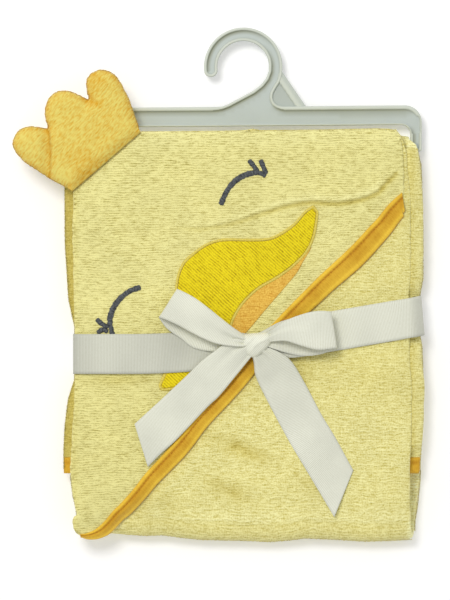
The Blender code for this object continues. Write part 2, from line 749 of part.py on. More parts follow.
def main():
    clear_scene()
    nodes = make_collection("hooded_baby_towel")
    helpers = make_collection("cutters")
    terry = material("terry", (0.86, 0.80, 0.36), 0.95)
    hood_terry = material("hood_terry", (0.88, 0.82, 0.40), 0.95)
    tape = material("binding", (0.93, 0.56, 0.06), 0.8)
    hem_tape = material("hem_tape", (0.93, 0.56, 0.06), 0.8)
    yellow = material("bill_yellow", (0.91, 0.72, 0.02), 0.9)
    orange = material("bill_orange", (0.88, 0.50, 0.12), 0.9)
    outline_thread = material("outline_thread", (0.80, 0.62, 0.10), 0.6)
    plush_front = material("plush_front", (0.90, 0.63, 0.15), 0.95)
    plush_back = material("plush_back", (0.90, 0.63, 0.15), 0.95)
    filling = material("filling", (0.92, 0.92, 0.90), 1.0)

    towel_sheet(terry, nodes, helpers)
    hem_binding(hem_tape, nodes)
    hood_panel(hood_terry, nodes)
    hood_binding(tape, nodes)
    bill(yellow, orange, outline_thread, nodes)
    for name, points in EYE_LINES.items():
        thread = material(name + "_thread", (0.10, 0.11, 0.13), 0.6)
        embroidered_line(name, points, thread, nodes)
    crown(plush_front, plush_back, filling, nodes)

    ribbon_look = {}
    for name in ("band", "knot", "loop_left", "loop_right", "tail_left", "tail_right"):
        ribbon_look[name] = material("ribbon_" + name, (0.83, 0.84, 0.70), 0.55)
    ribbon_band(ribbon_look["band"], nodes)
    ribbon_knot(ribbon_look["knot"], nodes)
    ribbon_piece("ribbon_loop_left", LOOP_LEFT, ribbon_look["loop_left"], nodes)
    ribbon_piece("ribbon_loop_right", LOOP_RIGHT, ribbon_look["loop_right"], nodes)
    ribbon_piece("ribbon_tail_left", TAIL_LEFT, ribbon_look["tail_left"], nodes)
    ribbon_piece("ribbon_tail_right", TAIL_RIGHT, ribbon_look["tail_right"], nodes)

    hanger(material("hanger_plastic", (0.53, 0.58, 0.52), 0.4), nodes, helpers)


main()
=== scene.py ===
"""Hooded baby towel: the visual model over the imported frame.

Lengths are in millimetres in the row's frame and are scaled when a mesh is made: +X to the
right, +Y towards the hanger's hook, +Z up from the surface the packet lies on.
"""

import math

import bmesh
import bpy
import numpy as np
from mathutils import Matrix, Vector
from mathutils.geometry import delaunay_2d_cdt


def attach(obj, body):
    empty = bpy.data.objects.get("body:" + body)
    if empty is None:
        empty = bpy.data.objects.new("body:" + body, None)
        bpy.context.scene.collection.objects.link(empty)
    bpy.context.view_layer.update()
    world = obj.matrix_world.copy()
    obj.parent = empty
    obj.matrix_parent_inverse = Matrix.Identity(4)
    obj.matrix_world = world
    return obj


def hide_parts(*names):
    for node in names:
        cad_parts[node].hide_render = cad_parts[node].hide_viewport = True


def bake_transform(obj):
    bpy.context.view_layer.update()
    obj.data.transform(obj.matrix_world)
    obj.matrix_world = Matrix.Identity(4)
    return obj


MM = 0.001
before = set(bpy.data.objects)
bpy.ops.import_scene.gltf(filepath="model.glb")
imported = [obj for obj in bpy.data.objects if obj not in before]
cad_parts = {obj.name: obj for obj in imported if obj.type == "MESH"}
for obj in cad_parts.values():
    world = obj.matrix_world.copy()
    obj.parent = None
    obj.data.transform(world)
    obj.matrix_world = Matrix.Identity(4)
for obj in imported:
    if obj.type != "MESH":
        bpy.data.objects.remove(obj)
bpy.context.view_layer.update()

# ---------------------------------------------------------------- numbers

TINY, HUGE = 1e-9, 1e9
SCRAMBLE_X, SCRAMBLE_Y, SCRAMBLE_SEED, SCRAMBLE_SHIFT = 374761393, 668265263, 974711, 12345
SCRAMBLE_MIX, SCRAMBLE_BITS = 1274126177, 0x7FFFFFFF


def smooth(x):
    """0 below 0, 1 above 1 and an even S between."""
    x = np.clip(x, 0.0, 1.0)
    return x * x * (3.0 - 2.0 * x)


def hill(x, width):
    return np.exp(-((x / width) ** 2))


def rounded(depth, radius):
    """A quarter round: 0 at the edge, 1 at the radius and beyond."""
    return np.sqrt(np.maximum(0.0, 1.0 - (1.0 - np.minimum(depth / radius, 1.0)) ** 2))


def at(table, where):
    """Values read from a table of (place, value) pairs."""
    table = np.array(table)
    return np.interp(where, table[:, 0], table[:, 1])


def turned(x, y, angle):
    """Coordinates along and across a direction given in degrees."""
    c, s = math.cos(math.radians(angle)), math.sin(math.radians(angle))
    return x * c + y * s, -x * s + y * c


def noise(x, y, size, seed=0):
    """Smooth noise from -1 to 1 with features about size across."""
    u, v = np.asarray(x) / size, np.asarray(y) / size
    i, j = np.floor(u).astype(np.int64), np.floor(v).astype(np.int64)
    a, b = u - i, v - j
    a, b = a * a * (3 - 2 * a), b * b * (3 - 2 * b)

    def corner(p, q):
        h = p * SCRAMBLE_X + q * SCRAMBLE_Y + seed * SCRAMBLE_SEED + SCRAMBLE_SHIFT
        h = h & SCRAMBLE_BITS
        h = ((h ^ (h >> 13)) * SCRAMBLE_MIX) & SCRAMBLE_BITS
        return ((h >> 7) & 0xFFFF) / 32767.5 - 1.0

    low = corner(i, j) * (1 - a) + corner(i + 1, j) * a
    high = corner(i, j + 1) * (1 - a) + corner(i + 1, j + 1) * a
    return low * (1 - b) + high * b


def curve_through(points, steps):
    """A smooth open line through the points."""
    points = [np.array(p, float) for p in points]
    padded = [points[0], *points, points[-1]]
    found = []
    for k in range(len(points) - 1):
        a, b, c, d = padded[k : k + 4]
        for i in range(steps):
            t = i / steps
            found.append(
                0.5
                * (
                    2 * b
                    + (c - a) * t
                    + (2 * a - 5 * b + 4 * c - d) * t * t
                    + (3 * b - a - 3 * c + d) * t**3
                )
            )
    found.append(points[-1])
    return np.array(found)


def closed_curve(points, steps):
    """A smooth closed line through the points."""
    points = np.array(points, float)
    wrapped = curve_through(np.vstack([points[-2:], points, points[:3]]), steps)
    return wrapped[2 * steps : (2 + len(points)) * steps]


def lengths(line):
    """Length along a line at each of its points."""
    return np.concatenate([[0.0], np.cumsum(np.linalg.norm(np.diff(line, axis=0), axis=1))])


def even(points, spacing, closed=False):
    """The line through the points again, with points about spacing apart."""
    points = np.array(points, float)
    if closed:
        points = np.vstack([points, points[:1]])
    along = lengths(points)
    count = max(2, int(round(along[-1] / spacing)) + 1)
    where = np.linspace(0.0, along[-1], count)
    line = np.stack([np.interp(where, along, points[:, k]) for k in range(points.shape[1])], 1)
    return line[:-1] if closed else line


def arc(centre, radius, start, end, steps):
    angles = np.radians(np.linspace(start, end, steps + 1))
    return [(centre[0] + radius * math.cos(a), centre[1] + radius * math.sin(a)) for a in angles]


def anticlockwise(outline):
    x, y = outline[:, 0], outline[:, 1]
    area = 0.5 * float(np.sum(x * np.roll(y, -1) - np.roll(x, -1) * y))
    return outline[::-1] if area < 0 else outline


def beside(line, distance, closed=False):
    """The flat line moved to its right."""
    line = np.array(line, float)
    if closed:
        step = np.roll(line, -1, axis=0) - np.roll(line, 1, axis=0)
    else:
        step = np.gradient(line, axis=0)
    step /= np.maximum(np.linalg.norm(step, axis=1, keepdims=True), TINY)
    return line + np.stack([step[:, 1], -step[:, 0]], 1) * distance


def nearest(x, y, line, closed=False):
    """Distance to a flat line, its side there (1 to the left) and the length along it."""
    line = [tuple(p) for p in line]
    if closed:
        line.append(line[0])
    best = np.full(np.shape(x), HUGE)
    side = np.zeros(np.shape(x))
    along = np.zeros(np.shape(x))
    total = 0.0
    for (x0, y0), (x1, y1) in zip(line, line[1:]):
        sx, sy = x1 - x0, y1 - y0
        length = math.hypot(sx, sy)
        if length < TINY:
            continue
        share = np.clip(((x - x0) * sx + (y - y0) * sy) / length**2, 0.0, 1.0)
        dx, dy = x - x0 - share * sx, y - y0 - share * sy
        far = np.hypot(dx, dy)
        closer = far < best
        best = np.where(closer, far, best)
        side = np.where(closer, np.where(sx * dy - sy * dx >= 0, 1.0, -1.0), side)
        along = np.where(closer, total + share * length, along)
        total += length
    return best, side, along


def depth_in(x, y, outline):
    """Distance inside a closed outline, negative outside it."""
    far, _, _ = nearest(x, y, outline, closed=True)
    inside = np.zeros(np.shape(x), bool)
    for (x0, y0), (x1, y1) in zip(outline, np.roll(outline, -1, axis=0)):
        if y0 == y1:
            continue
        crosses = (y0 > y) != (y1 > y)
        inside ^= crosses & (x < x0 + (y - y0) / (y1 - y0) * (x1 - x0))
    return np.where(inside, far, -far)


# ---------------------------------------------------------------- meshes


def make_object(name, points, faces, looks, uv=None, values=None, slots=None):
    """An object from points in millimetres. uv is in millimetres of cloth, one per point;
    values are named numbers, one per point; slots is one material index per face."""
    mesh = bpy.data.meshes.new(name)
    mesh.from_pydata((np.asarray(points) * MM).tolist(), [], faces)
    for look in looks:
        mesh.materials.append(look)
    if slots is not None:
        mesh.polygons.foreach_set("material_index", np.asarray(slots, np.int32))
    mesh.polygons.foreach_set("use_smooth", np.ones(len(mesh.polygons), bool))
    if uv is not None:
        corners = np.empty(len(mesh.loops), np.int32)
        mesh.loops.foreach_get("vertex_index", corners)
        layer = mesh.uv_layers.new(name="cloth")
        layer.data.foreach_set("uv", np.asarray(uv, np.float32)[corners].ravel())
    # Every mesh carries a painted shading value, 1 where no light or shade is painted.
    values = {"painted_shading": np.ones(len(mesh.vertices)), **(values or {})}
    for key, numbers in values.items():
        made = mesh.attributes.new(key, "FLOAT", "POINT")
        made.data.foreach_set("value", np.asarray(numbers, np.float32))
    mesh.update()
    mesh.validate()
    obj = bpy.data.objects.new(name, mesh)
    bpy.context.scene.collection.objects.link(obj)
    return obj


def grid_faces(rows, columns, start=0, flip=False, closed=False):
    """Quads of a grid of points numbered row by row."""
    faces = []
    for r in range(rows - 1 + (1 if closed else 0)):
        low, high = start + r * columns, start + ((r + 1) % rows) * columns
        for c in range(columns - 1):
            quad = [low + c, low + c + 1, high + c + 1, high + c]
            faces.append(quad[::-1] if flip else quad)
    return faces


def tube_faces(rings, around, start=0, closed=False):
    """Quads of a tube of rings of points, and its two ends unless it closes on itself."""
    faces = []
    for r in range(rings if closed else rings - 1):
        low, high = start + r * around, start + (r + 1) % rings * around
        for c in range(around):
            d = (c + 1) % around
            faces.append([low + c, low + d, high + d, high + c])
    if not closed:
        last = start + (rings - 1) * around
        faces.append(list(range(start, start + around))[::-1])
        faces.append(list(range(last, last + around)))
    return faces


def grid_uv(along, across):
    """Cloth coordinates of a grid, from the places of its rows and of its columns."""
    return np.stack(np.meshgrid(along, across, indexing="ij"), 2)


def grid_normals(grid):
    """Unit normals of a grid of points."""
    along, across = np.gradient(grid, axis=1), np.gradient(grid, axis=0)
    normal = np.cross(along, across)
    return normal / np.maximum(np.linalg.norm(normal, axis=2, keepdims=True), TINY)


def thick_grid(name, grid, above, below, looks, uv=None, values=None):
    """A closed body over a grid of points: above and below give how far its two faces lie
    from the grid along the normals."""
    rows, columns = grid.shape[:2]
    normal = grid_normals(grid)
    top = grid + normal * np.asarray(above)[..., None]
    bottom = grid - normal * np.asarray(below)[..., None]
    count = rows * columns
    points = np.vstack([top.reshape(-1, 3), bottom.reshape(-1, 3)])
    faces = grid_faces(rows, columns)
    faces += grid_faces(rows, columns, count, flip=True)
    rim = list(range(columns))
    rim += [r * columns + columns - 1 for r in range(1, rows)]
    rim += [(rows - 1) * columns + c for c in range(columns - 2, -1, -1)]
    rim += [r * columns for r in range(rows - 2, 0, -1)]
    for a, b in zip(rim, rim[1:] + rim[:1]):
        faces.append([b, a, count + a, count + b])
    if uv is not None:
        uv = np.vstack([uv.reshape(-1, 2)] * 2)
    if values is not None:
        values = {k: np.concatenate([v.ravel()] * 2) for k, v in values.items()}
    return make_object(name, points, faces, looks, uv, values)


def fuzz(name, line, heights, look, spacing, reach, seed, painted_shading=1.0):
    """Short loops and hairs that stand out to the left of a flat line, as a ragged fringe.
    Each is a thin spike with three root corners inside the cloth."""
    swing_spread, shortest, root_depth, half_wide, tip_spread = 0.55, 0.25, 0.5, 0.24, 0.25
    line = even(line, spacing)
    count = len(line)
    draw = np.random.default_rng(seed)
    way = line - beside(line, 1.0)
    swing = draw.normal(0.0, swing_spread, count)
    c, s = np.cos(swing), np.sin(swing)
    way = np.stack([way[:, 0] * c - way[:, 1] * s, way[:, 0] * s + way[:, 1] * c], 1)
    length = reach * draw.uniform(shortest, 1.0, count)
    z = draw.uniform(heights[0], heights[1], count)
    root = line - way * root_depth
    side = np.stack([-way[:, 1], way[:, 0]], 1) * half_wide
    tip = line + way * length[:, None]
    tip = np.column_stack([tip, z + draw.normal(0.0, tip_spread, count)])
    corners = [np.column_stack([root + side, z - 0.15]), np.column_stack([root - side, z - 0.15])]
    corners += [np.column_stack([root, z + 0.27]), tip]
    points = np.stack(corners, 1).reshape(-1, 3)
    faces = []
    for i in range(count):
        a, b, d, e = range(4 * i, 4 * i + 4)
        faces += [[a, b, e], [b, d, e], [d, a, e], [b, a, d]]
    values = {"painted_shading": np.full(4 * count, painted_shading), "pile": np.full(4 * count, 0.6)}
    values["swell"] = np.full(4 * count, 0.55)
    made = make_object(name, points, faces, [look], points[:, :2], values)
    fix_normals(made)
    return made


def fix_normals(obj):
    work = bmesh.new()
    work.from_mesh(obj.data)
    bmesh.ops.recalc_face_normals(work, faces=work.faces)
    work.to_mesh(obj.data)
    work.free()


def filled(outline, spacing, rings):
    """Points and triangles that fill an outline, whose own points come first."""
    outline = np.asarray(outline, float)
    flat = [outline]
    for ring in rings:
        inset = beside(outline, -ring, closed=True)
        inset = inset[depth_in(inset[:, 0], inset[:, 1], outline) > ring * 0.9]
        flat.append(inset)
    clear = (rings[-1] if rings else 0.0) + 0.55 * max(spacing)
    x0, y0 = outline.min(axis=0)
    x1, y1 = outline.max(axis=0)
    columns, rows = np.arange(x0, x1, spacing[0]), np.arange(y0, y1, spacing[1])
    x, y = np.meshgrid(columns, rows)
    x = x + (np.arange(len(rows)) % 2)[:, None] * spacing[0] / 2
    x, y = x.ravel(), y.ravel()
    kept = depth_in(x, y, outline) > clear
    flat.append(np.stack([x[kept], y[kept]], 1))
    flat = np.vstack(flat)
    count = len(outline)
    made = delaunay_2d_cdt(
        [Vector(p) for p in flat.tolist()], [], [list(range(count))], 1, 1e-5
    )
    return np.array([tuple(p) for p in made[0]]), [list(t) for t in made[2]]


def slab(name, outline, spacing, rings, top, bottom, looks, low_spacing=None, uv=None, values=None):
    """A closed body over an outline. top and bottom give its faces' heights from x, y and
    the distance to the edge."""
    outline = anticlockwise(np.asarray(outline, float))
    high_flat, high_faces = filled(outline, spacing, rings)
    low_flat, low_faces = filled(outline, low_spacing or spacing, rings if not low_spacing else [])
    count = len(outline)
    high_depth = np.maximum(depth_in(high_flat[:, 0], high_flat[:, 1], outline), 0.0)
    low_depth = np.maximum(depth_in(low_flat[:, 0], low_flat[:, 1], outline), 0.0)
    high_depth[:count] = 0.0
    low_depth[:count] = 0.0
    high_z = top(high_flat[:, 0], high_flat[:, 1], high_depth)
    low_z = bottom(low_flat[:, 0], low_flat[:, 1], low_depth)
    points = np.vstack([np.column_stack([high_flat, high_z]), np.column_stack([low_flat, low_z])])
    shift = len(high_flat)
    faces = high_faces + [[shift + i for i in reversed(t)] for t in low_faces]
    for i in range(count):
        j = (i + 1) % count
        faces.append([j, i, shift + i, shift + j])
    flat = points[:, :2]
    return make_object(
        name,
        points,
        faces,
        looks,
        uv=flat if uv is None else uv(flat),
        values={k: f(points[:, 0], points[:, 1]) for k, f in (values or {}).items()},
    )


# ---------------------------------------------------------------- materials


def add(tree, kind, values=None, **settings):
    """A new node. values are its inputs' numbers or the sockets that feed them."""
    made = tree.nodes.new(kind)
    for key, value in settings.items():
        setattr(made, key, value)
    for key, value in (values or {}).items():
        if isinstance(value, bpy.types.NodeSocket):
            tree.links.new(value, made.inputs[key])
        else:
            made.inputs[key].default_value = value
    return made


def maths(tree, operation, a, b=0.0, c=0.0):
    return add(tree, "ShaderNodeMath", {0: a, 1: b, 2: c}, operation=operation).outputs[0]


def linear(red, green, blue):
    """A colour from its 0 to 255 screen values."""
    parts = [c / 255.0 for c in (red, green, blue)]
    return (*[c / 12.92 if c <= 0.04045 else ((c + 0.055) / 1.055) ** 2.4 for c in parts], 1.0)


def start_material(name, roughness, sheen=0.0):
    """A new material with its node tree and its shader."""
    made = bpy.data.materials.new(name)
    made.use_nodes = True
    tree = made.node_tree
    shader = tree.nodes["Principled BSDF"]
    shader.inputs["Roughness"].default_value = roughness
    shader.inputs["Sheen Weight"].default_value = sheen
    shader.inputs["Sheen Roughness"].default_value = 0.45
    shader.inputs["Specular IOR Level"].default_value = 0.25
    return made, tree, shader


def mixed(tree, share, a, b):
    """Colour a where share is 0 and colour b where it is 1."""
    made = add(tree, "ShaderNodeMix", data_type="RGBA")
    for socket, value in (("Factor_Float", share), ("A_Color", a), ("B_Color", b)):
        target = next(s for s in made.inputs if s.identifier == socket)
        if isinstance(value, bpy.types.NodeSocket):
            tree.links.new(value, target)
        else:
            target.default_value = value
    return next(s for s in made.outputs if s.identifier == "Result_Color")


def vector_maths(tree, operation, a, b):
    return add(tree, "ShaderNodeVectorMath", {0: a, 1: b}, operation=operation).outputs[0]


def mesh_value(tree, name):
    """The number that the mesh keeps under a name."""
    return add(tree, "ShaderNodeAttribute", attribute_name=name).outputs["Fac"]


def clamped(tree, value):
    return add(tree, "ShaderNodeClamp", {"Value": value}).outputs[0]


def waves(tree, place, length):
    """Even waves from -1 to 1 along a coordinate."""
    return maths(tree, "COSINE", maths(tree, "MULTIPLY", place, 2 * math.pi / length))


def swayed(tree, base, texture, amount):
    """base, moved both ways by a texture that runs from 0 to 1."""
    return maths(tree, "MULTIPLY_ADD", maths(tree, "ADD", texture, -0.5), amount, base)


def cloth_point(tree, along=1.0, across=1.0):
    """The cloth's own coordinates in millimetres, stretched by the two factors."""
    place = add(tree, "ShaderNodeUVMap", uv_map="cloth").outputs[0]
    return vector_maths(tree, "MULTIPLY", place, (along, across, 1.0))


def cloth_axes(tree):
    return add(tree, "ShaderNodeSeparateXYZ", {0: cloth_point(tree)}).outputs


def cloud(tree, vector, detail):
    """A soft texture from 0 to 1 with features about one unit across."""
    values = {"Vector": vector, "Scale": 1.0, "Detail": detail, "Roughness": 0.55}
    return add(tree, "ShaderNodeTexNoise", values, noise_dimensions="2D").outputs["Fac"]


def cloth_cloud(tree, along, across, detail=2.0):
    return cloud(tree, cloth_point(tree, along, across), detail)


def painted(tree, shader, colour):
    tree.links.new(colour, shader.inputs["Base Color"])


def bumped(tree, shader, height, depth):
    """Fine relief: height from 0 to 1 stands for depth millimetres."""
    made = add(tree, "ShaderNodeBump", {"Height": height, "Strength": 1.0, "Distance": depth * MM})
    tree.links.new(made.outputs["Normal"], shader.inputs["Normal"])


def terry(name, dark, light, row=None, deep=0.5, streaky=1.0, clumpy=0.0):
    """Looped pile. Rows come from the mesh's own relief, kept as pile, or from row, their
    spacing in millimetres, where the mesh is too coarse to hold them. The mesh's painted
    shading value paints shade into hollows and paints light where it rises above 1.
    streaky draws long thin gaps between loops and clumpy draws tufts."""
    made, tree, shader = start_material(name, 0.95, 0.2)
    loops = maths(tree, "MULTIPLY_ADD", cloth_cloud(tree, 0.9, 1.1, 3.0), 2.2, -0.6)
    if row:
        column = 1.45
        axes = cloth_axes(tree)
        wander = cloth_cloud(tree, 0.06, 0.10)
        rows = waves(tree, maths(tree, "MULTIPLY_ADD", wander, 5.0, axes[1]), row)
        columns = waves(tree, maths(tree, "MULTIPLY_ADD", wander, 4.0, axes[0]), column)
        dashes = maths(tree, "MULTIPLY_ADD", cloth_cloud(tree, 0.35, 0.55), 2.4, -0.7)
        rows = maths(tree, "MULTIPLY_ADD", columns, 0.35, rows)
        rows = maths(tree, "MULTIPLY", rows, clamped(tree, dashes))
        pile = maths(tree, "MULTIPLY_ADD", rows, 0.34, 0.56)
        height = maths(tree, "MULTIPLY", loops, 0.45)
        height = maths(tree, "MULTIPLY_ADD", pile, 0.55, height)
    else:
        height = maths(tree, "MULTIPLY_ADD", loops, 0.30, -0.23)
        height = maths(tree, "MULTIPLY_ADD", mesh_value(tree, "pile"), 0.95, height)
    drift = maths(tree, "MULTIPLY", cloth_cloud(tree, 0.11, 0.11, 1.0), 5.0)
    drift = add(tree, "ShaderNodeCombineXYZ", {"Y": drift}).outputs[0]
    strewn = vector_maths(tree, "ADD", cloth_point(tree, 0.16, 1.3), drift)
    drawn = swayed(tree, height, cloud(tree, strewn, 1.0), streaky)
    drawn = swayed(tree, drawn, cloth_cloud(tree, 0.28, 0.38, 3.0), clumpy)
    share = add(
        tree, "ShaderNodeMapRange", {"Value": drawn, "From Min": 0.08, "From Max": 0.8}
    ).outputs[0]
    patches = maths(tree, "MULTIPLY_ADD", cloth_cloud(tree, 0.035, 0.05), 0.16, 0.92)
    # Painted light and shade: the mesh's value scales the colour, blue most and red least, so painted
    # shade turns a deeper yellow.
    painted_shading = mesh_value(tree, "painted_shading")
    green, blue = maths(tree, "POWER", painted_shading, 1.3), maths(tree, "POWER", painted_shading, 2.8)
    shade = add(tree, "ShaderNodeCombineXYZ", {"X": painted_shading, "Y": green, "Z": blue}).outputs[0]
    colour = vector_maths(tree, "MULTIPLY", mixed(tree, share, dark, light), patches)
    painted(tree, shader, vector_maths(tree, "MULTIPLY", colour, shade))
    bumped(tree, shader, loops if row is None else drawn, deep)
    return made


def tape_look(name, dark, light, rib=0.9):
    """Knitted binding tape: fine ribs, painted highlights on its rolled edges and painted shade in its
    folds, both from the mesh's fold value.
    """
    made, tree, shader = start_material(name, 0.75, 0.3)
    fibres = cloth_cloud(tree, 1.6, 0.5, 3.0)
    share = clamped(tree, swayed(tree, mesh_value(tree, "fold"), fibres, 0.7))
    painted(tree, shader, mixed(tree, share, dark, light))
    ribs = waves(tree, cloth_axes(tree)[0], rib)
    bumped(tree, shader, maths(tree, "MULTIPLY_ADD", ribs, 0.2, fibres), 0.15)
    return made


def plush_look(name, dark, light):
    """Short silky pile brushed along its length. The mesh's swell value paints shade into the seams,
    valleys and round the rim, and its painted shading value darkens the seams further.
    """
    made, tree, shader = start_material(name, 0.95, 0.3)
    shader.inputs["Sheen Tint"].default_value = (1.0, 0.9, 0.6, 1.0)
    nap = cloth_cloud(tree, 0.3, 1.0, 3.0)
    tufts = cloth_cloud(tree, 0.22, 0.5, 3.0)
    share = swayed(tree, mesh_value(tree, "swell"), nap, 2.0)
    share = swayed(tree, share, tufts, 0.3)
    share = swayed(tree, share, cloth_cloud(tree, 0.05, 0.07), 0.5)
    colour = mixed(tree, clamped(tree, share), dark, light)
    painted(tree, shader, vector_maths(tree, "MULTIPLY", colour, mesh_value(tree, "painted_shading")))
    bumped(tree, shader, maths(tree, "MULTIPLY_ADD", tufts, 1.2, nap), 0.35)
    return made


def ribbon_look(name, dark, light, rib=0.95):
    """Grosgrain: ribs across the ribbon's width and firm edges."""
    made, tree, shader = start_material(name, 0.5, 0.15)
    grain = maths(tree, "MULTIPLY", cloth_cloud(tree, 2.5, 0.6), 0.5)
    height = maths(tree, "MULTIPLY_ADD", waves(tree, cloth_axes(tree)[0], rib), 0.35, grain)
    share = clamped(tree, maths(tree, "MULTIPLY_ADD", height, 0.8, 0.45))
    colour = mixed(tree, share, dark, light)
    # The mesh's painted shading value darkens or lightens the colour.
    painted(tree, shader, vector_maths(tree, "MULTIPLY", colour, mesh_value(tree, "painted_shading")))
    bumped(tree, shader, height, 0.10)
    return made


def thread_look(name, dark, light, lay):
    """Satin stitch: threads side by side across the line, lay apart."""
    made, tree, shader = start_material(name, 0.45, 0.1)
    wander = cloth_cloud(tree, 0.6, 0.6, 1.0)
    place = maths(tree, "MULTIPLY_ADD", wander, 0.5, cloth_axes(tree)[0])
    threads = maths(tree, "MULTIPLY_ADD", waves(tree, place, lay), 0.35, 0.5)
    share = clamped(tree, swayed(tree, threads, cloth_cloud(tree, 1.1, 0.5), 1.6))
    painted(tree, shader, mixed(tree, share, dark, light))
    bumped(tree, shader, threads, 0.12)
    return made


def solid_cloud(tree, size, detail):
    """A soft texture through the whole body, size being its features' count in a metre."""
    place = add(tree, "ShaderNodeTexCoord").outputs["Object"]
    values = {"Vector": place, "Scale": size, "Detail": detail}
    return add(tree, "ShaderNodeTexNoise", values).outputs["Fac"]


def plastic_look(name, web, rim, painted_groove_shade):
    """Moulded plastic, paler on its rims, with painted shade in the corner beside them."""
    made, tree, shader = start_material(name, 0.38)
    shader.inputs["Specular IOR Level"].default_value = 0.4
    haze = solid_cloud(tree, 60.0, 3.0)
    colour = mixed(tree, mesh_value(tree, "relief"), web, rim)
    # Painted shade: corner marks the web at the foot of the rims, where they shade it.
    colour = mixed(tree, mesh_value(tree, "corner"), colour, painted_groove_shade)
    worn = maths(tree, "MULTIPLY_ADD", haze, 0.08, 0.96)
    painted(tree, shader, vector_maths(tree, "MULTIPLY", colour, worn))
    tree.links.new(maths(tree, "MULTIPLY_ADD", haze, 0.2, 0.30), shader.inputs["Roughness"])
    bumped(tree, shader, solid_cloud(tree, 900.0, 2.0), 0.03)
    return made


TERRY_TOWEL = terry(
    "terry_towel", linear(198, 182, 82), linear(253, 246, 172), 1.9, 0.45, 0.6, 0.5
)
TERRY_HOOD = terry(
    "terry_hood", linear(172, 156, 64), linear(250, 243, 166), deep=0.3, streaky=0.8, clumpy=0.1
)
BILL_YELLOW = terry(
    "bill_yellow", linear(180, 152, 4), linear(252, 231, 32), deep=0.25, streaky=0.15, clumpy=0.1
)
BILL_ORANGE = terry(
    "bill_orange", linear(202, 136, 30), linear(246, 206, 96), 1.4, 0.2, 0.25, 0.5
)
BINDING = tape_look("binding_tape", linear(198, 142, 24), linear(250, 208, 66))
PLUSH = plush_look("plush", linear(218, 162, 32), linear(234, 217, 114))
RIBBON = ribbon_look("ribbon", linear(200, 199, 174), linear(243, 245, 231))
OUTLINE = thread_look("outline_thread", linear(214, 190, 66), linear(244, 228, 120), 0.45)
EYE = thread_look("eye_thread", linear(16, 18, 21), linear(112, 117, 120), 0.5)
# The third colour is painted shade for the web beside the rims.
PLASTIC = plastic_look(
    "hanger_plastic", linear(191, 200, 194), linear(207, 213, 200), linear(146, 150, 128)
)
STITCH = thread_look("stitch_thread", linear(186, 116, 16), linear(228, 158, 40), 0.4)

# ---------------------------------------------------------------- the packet's shape

# Heights and places of the folded stack: the hanger's lower bar runs inside its top fold.
FRONT_TOP, HOOD_TOP = 22.1, 25.35
MIDDLE_TOP, MIDDLE_UNDER = 16.3, 8.6
BACK_UNDER = 0.15
BAR_Y, HANGER_Z = 88.0, 8.2
FOLD_Y = -152.0
RIBBON_WIDTH = 25.4
RIBBON_LINE = [(-110, -44.3), (-40, -44.0), (0, -41.4), (24.5, -38.0), (45, -34.6), (84, -27.9),
               (119, -21.9), (140, -19.7)]
HOOD_EDGE = curve_through(
    [(117.2, 58.9), (108.8, 51.3), (101.4, 42.2), (96.0, 36.5), (87.9, 27.7), (81.0, 20.8),
     (72.6, 13.0), (65.3, 6.3), (55.9, -3.1), (49.8, -9.2), (37.9, -21.5), (26.1, -35.1),
     (12.1, -53.8), (0.0, -68.4), (-15.6, -85.0), (-26.3, -98.4), (-38.5, -111.7),
     (-46.8, -120.8), (-54.1, -130.3), (-62.3, -139.5), (-67.2, -144.3), (-72.0, -150.2),
     (-75.3, -153.6), (-79.4, -156.8), (-84.2, -158.8), (-88.4, -159.4)],
    6,
)
BINDING_WIDTH = [(-88, 2.4), (-84, 4.6), (-76, 8.2), (-62, 9.9), (-46, 10.4), (-31, 11.2), (-7, 10.3),
                 (20, 10.6), (48, 12.0), (64, 12.8), (80, 13.8), (96, 13.6), (105, 12.6), (117, 12.4)]
SEAM_A, SEAM_B = (-49.5, 97.2), (-93.1, 59.5)


def ribbon_press(x, y, reach=13.0):
    """1 under the ribbon, falling to 0 beside it."""
    return 1.0 - smooth((np.abs(y - at(RIBBON_LINE, x)) - RIBBON_WIDTH / 2) / reach)


def beyond_hood(x, y):
    """Distance past the hood's open edge, negative on the hood."""
    far, side, _ = nearest(x, y, HOOD_EDGE)
    return far * side


def from_seam(x, y):
    """Distance from the seam between the hood and the comb."""
    return nearest(x, y, [SEAM_A, SEAM_B])[0]


def front_sag(y):
    """How far the front face falls away towards the bottom fold."""
    return 3.2 * smooth((-122.0 - y) / 34.0)


# Each hollow's middle x and y, its half width and height, its depth and the painted shade in it.
HOLLOWS = [(12, -104, 18, 5, 2.2, 0.17), (6, -131, 13, 6, 1.5, 0.12), (-32, -140, 9, 7, 0.8, 0.07),
           (60, -128, 12, 7, 0.6, 0.05), (52, -56, 9, 12, 0.6, 0.07), (98, -60, 22, 7, 0.4, 0.03)]
BOTTOM = [(-91, -160.5), (-84, -162.8), (-76, -162.6), (-68.8, -159.4), (-60, -160.4),
          (-46, -161.2), (-36, -160.8), (-23, -162.6), (-12, -163.7), (20, -164.5), (33.5, -165.2),
          (45, -164.2), (56, -162.8), (75, -163.7), (94, -164.9), (110, -164.4), (124, -163.6)]
BOTTOM_MEAN = -163.3
TOP_RISE = [(-50, -0.5), (0, -0.1), (17, 0.2), (21.4, 1.3), (26, 0.3), (60, 0.6), (100, 1.4),
            (108, 1.2), (113, 0.4)]


HOLLOW_SLANT = 0.35


def hollow(x, y, hx, hy, wide, high):
    """1 in a hollow's middle, falling to 0 round it."""
    across = y - hy + HOLLOW_SLANT * (x - hx)
    return np.exp(-(((x - hx) / wide) ** 2) - (across / high) ** 2)


